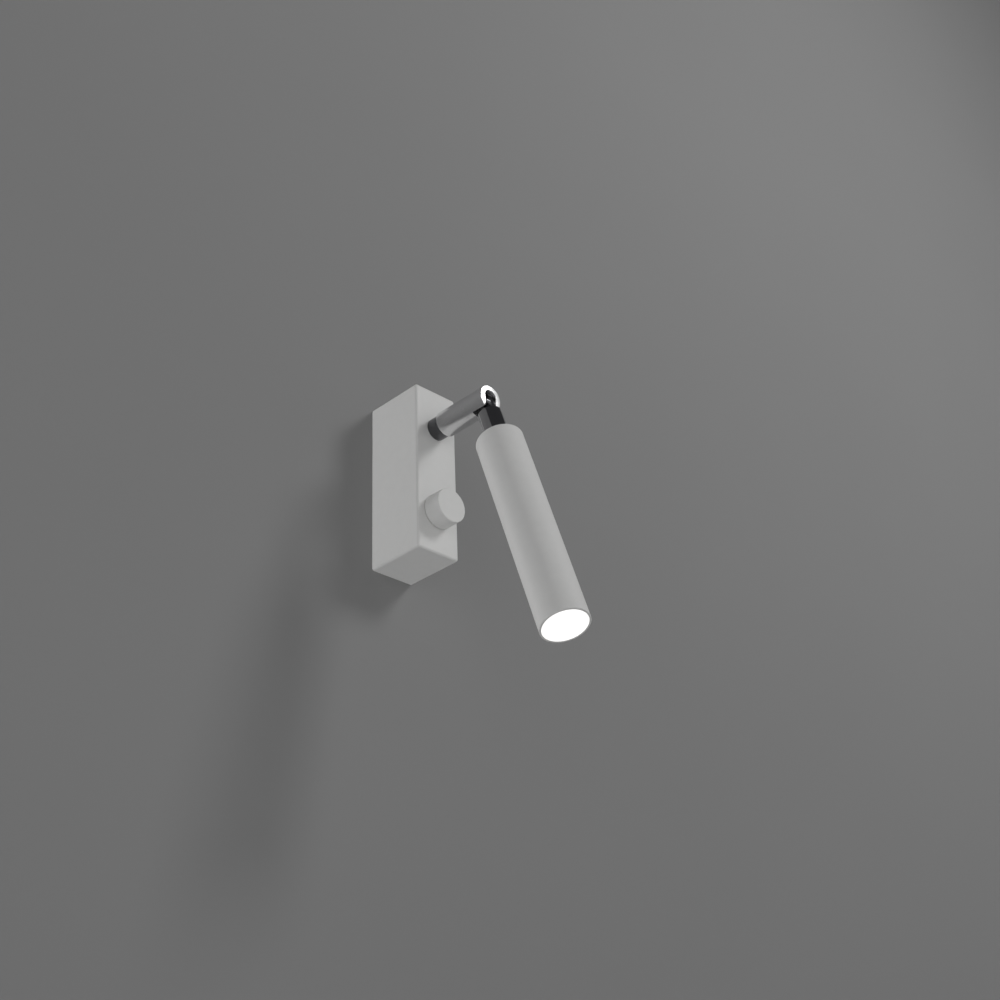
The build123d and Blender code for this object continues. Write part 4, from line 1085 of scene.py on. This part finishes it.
@dataclass
class Studio:
    """Plain wall and floor, soft lights, and the camera at the photograph's angle."""

    wall_colour: Colour = (0.29, 0.29, 0.29)
    floor_colour: Colour = (0.62, 0.62, 0.62)
    spread: float = 3.0
    floor_height: float = -1.15
    floor_glow: float = 0.7
    floor_light_height: float = 0.7
    wall_gap: float = 0.2 * MM
    wall_overlap: float = 1.0 * MM
    floor_power: float = 15.0
    lights: tuple[SoftLight, ...] = (
        SoftLight("key_light", (0.78, -1.16, 0.88), 0.43, 7.2),
        SoftLight("side_light", (-1.20, -0.90, -0.45), 1.6, 3.6),
        SoftLight("rear_light", (-0.5, 1.6, 0.6), 1.2, 10.0),
    )
    room_low: Colour = (0.46, 0.46, 0.46)
    room_high: Colour = (0.035, 0.035, 0.037)
    room_fade: tuple[float, float] = (0.22, 0.62)
    camera_place: Vector = field(default_factory=lambda: Vector((-0.5228, -0.6020, -0.4502)))
    heading: float = math.radians(45.495)
    climb: float = math.radians(29.222)
    roll: float = math.radians(-2.504)
    focal_pixels: float = 1563.5
    picture_pixels: float = 1000.0
    sensor: float = 36.0

    def sheet(
        self, name: str, points: Sequence[Vector], faces: Sequence[Sequence[int]],
    ) -> bpy.types.Object:
        """Flat surface that isn't part of the object.

        Args:
            name: its name.
            points: its corners.
            faces: the corners of each face, anticlockwise from its front.

        Returns:
            The surface.
        """
        mesh = bpy.data.meshes.new(name)
        mesh.from_pydata([tuple(point) for point in points], [], [tuple(face) for face in faces])
        made = bpy.data.objects.new(name, mesh)
        bpy.context.scene.collection.objects.link(made)
        return made

    def paint(self, name: str, colour: Colour, one_sided: bool, glow: float) -> bpy.types.Material:
        """Plain matte paint with a faint roller texture.

        Args:
            name: the material's name.
            colour: its colour.
            one_sided: whether the surface is clear when it is seen from behind.
            glow: share of the plain, unshaded colour in what the camera and reflections see.

        Returns:
            The material.
        """
        material = bpy.data.materials.new(name)
        surface = Surface(material, Run.WALL)
        roller = surface.noise(1.5 * MM, 3.0)
        cloud = surface.noise(0.4, 3.0).rise(0.2, 0.8)
        darker = tuple(part * 0.96 for part in colour)
        geometry = surface.node("NewGeometry", {}, {})
        shader = surface.node("BsdfPrincipled", {}, {
            "Base Color": surface.mixed(cloud, darker, colour),
            "Roughness": 0.85,
            "Normal": surface.bump(roller, 0.00005, geometry.outputs["Normal"]),
        })
        last = shader.outputs[0]
        if glow:
            rays = surface.node("LightPath", {}, {}).outputs
            seen = Signal(surface, rays["Is Camera Ray"]) + Signal(surface, rays["Is Glossy Ray"])
            plain = surface.node("Emission", {}, {"Color": colour, "Strength": 1.0})
            inputs = {0: seen * glow, 1: last, 2: plain.outputs[0]}
            last = surface.node("MixShader", {}, inputs).outputs[0]
        if one_sided:
            clear = surface.node("BsdfTransparent", {}, {})
            amount = geometry.outputs["Backfacing"]
            inputs = {0: amount, 1: last, 2: clear.outputs[0]}
            last = surface.node("MixShader", {}, inputs).outputs[0]
        surface.node("OutputMaterial", {}, {"Surface": last})
        return material

    def wall(self) -> None:
        """Wall behind the casing, open where the casing covers it so that its back is lit too."""
        low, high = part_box("base_housing")
        inset = self.wall_overlap
        hole = ((low.x + inset, high.x - inset), (low.z + inset, high.z - inset))
        rim = ((-self.spread, self.spread), (self.floor_height, self.spread))
        points = []
        for (left, right), (bottom, top) in (rim, hole):
            points += [
                Vector((left, self.wall_gap, bottom)),
                Vector((right, self.wall_gap, bottom)),
                Vector((right, self.wall_gap, top)),
                Vector((left, self.wall_gap, top)),
            ]
        faces = [(side, (side + 1) % 4, (side + 1) % 4 + 4, side + 4) for side in range(4)]
        made = self.sheet("wall", points, faces)
        made.data.materials.append(self.paint("wall_paint", self.wall_colour, True, 0.0))
        made.visible_shadow = False
        made.visible_diffuse = False

    def floor(self) -> None:
        """Plain floor well below the object, with a light of its own."""
        side, low = self.spread, self.floor_height
        corners = ((-1, -1), (1, -1), (1, 1), (-1, 1))
        points = [Vector((x * side, y * side, low)) for x, y in corners]
        made = self.sheet("floor", points, [(0, 1, 2, 3)])
        paint = self.paint("floor_paint", self.floor_colour, False, self.floor_glow)
        made.data.materials.append(paint)
        above = (0.0, 0.0, low + self.floor_light_height)
        light = SoftLight("floor_light", above, self.spread * 1.6, self.floor_power)
        self.lamp(light, Vector((0.0, 0.0, low)))

    def lamp(self, light: SoftLight, target: Vector) -> None:
        """Makes one light.

        Args:
            light: what it is like.
            target: what it is aimed at.
        """
        data = bpy.data.lights.new(light.name, "AREA")
        data.size = light.size
        data.energy = light.power
        made = bpy.data.objects.new(light.name, data)
        place = Vector(light.place)
        made.location = place
        made.rotation_euler = (target - place).to_track_quat("-Z", "Y").to_euler()
        made.visible_camera = False
        bpy.context.scene.collection.objects.link(made)

    def world(self) -> None:
        """Room light: pale at eye level and below, dim above."""
        world = bpy.data.worlds.new("room")
        bpy.context.scene.world = world
        tree = ShaderTree(world)
        place = tree.node("TexCoord", {}, {}).outputs["Generated"]
        height = Signal(tree, tree.node("SeparateXYZ", {}, {"Vector": place}).outputs["Z"])
        shade = tree.mixed(height.rise(*self.room_fade), self.room_low, self.room_high)
        glow = tree.node("Background", {}, {"Color": shade, "Strength": 1.0})
        tree.node("OutputWorld", {}, {"Surface": glow.outputs[0]})

    def camera(self) -> None:
        """Camera at the photograph's angle, frame and distance."""
        data = bpy.data.cameras.new("photo_camera")
        data.sensor_width = self.sensor
        data.lens = self.focal_pixels * self.sensor / self.picture_pixels
        data.clip_start = 0.01
        forward = Vector((
            math.sin(self.heading) * math.cos(self.climb),
            math.cos(self.heading) * math.cos(self.climb),
            math.sin(self.climb),
        ))
        right = Vector((math.cos(self.heading), -math.sin(self.heading), 0.0))
        up = right.cross(forward)
        turn = Matrix((right, up, -forward)).transposed().to_4x4()
        made = bpy.data.objects.new("photo_camera", data)
        made.matrix_world = (
            Matrix.Translation(self.camera_place) @ turn @ Matrix.Rotation(self.roll, 4, "Z")
        )
        bpy.context.scene.collection.objects.link(made)
        bpy.context.scene.camera = made

    def build(self) -> None:
        """Makes the whole studio."""
        middle = (cad_box[0] + cad_box[1]) / 2
        self.wall()
        self.floor()
        for light in self.lights:
            self.lamp(light, middle)
        self.world()
        self.camera()
        bpy.context.scene.view_settings.view_transform = "Standard"
        log.info("studio is ready")


def main() -> None:
    """Builds every sub-assembly and the studio."""
    logging.basicConfig(level=logging.INFO, format="%(name)s: %(message)s")
    for part in (Base(), Knob(), Arm(), Head(), Studio()):
        part.build()
        log.info("%s is done", type(part).__name__)


if __name__ == "__main__":
    main()
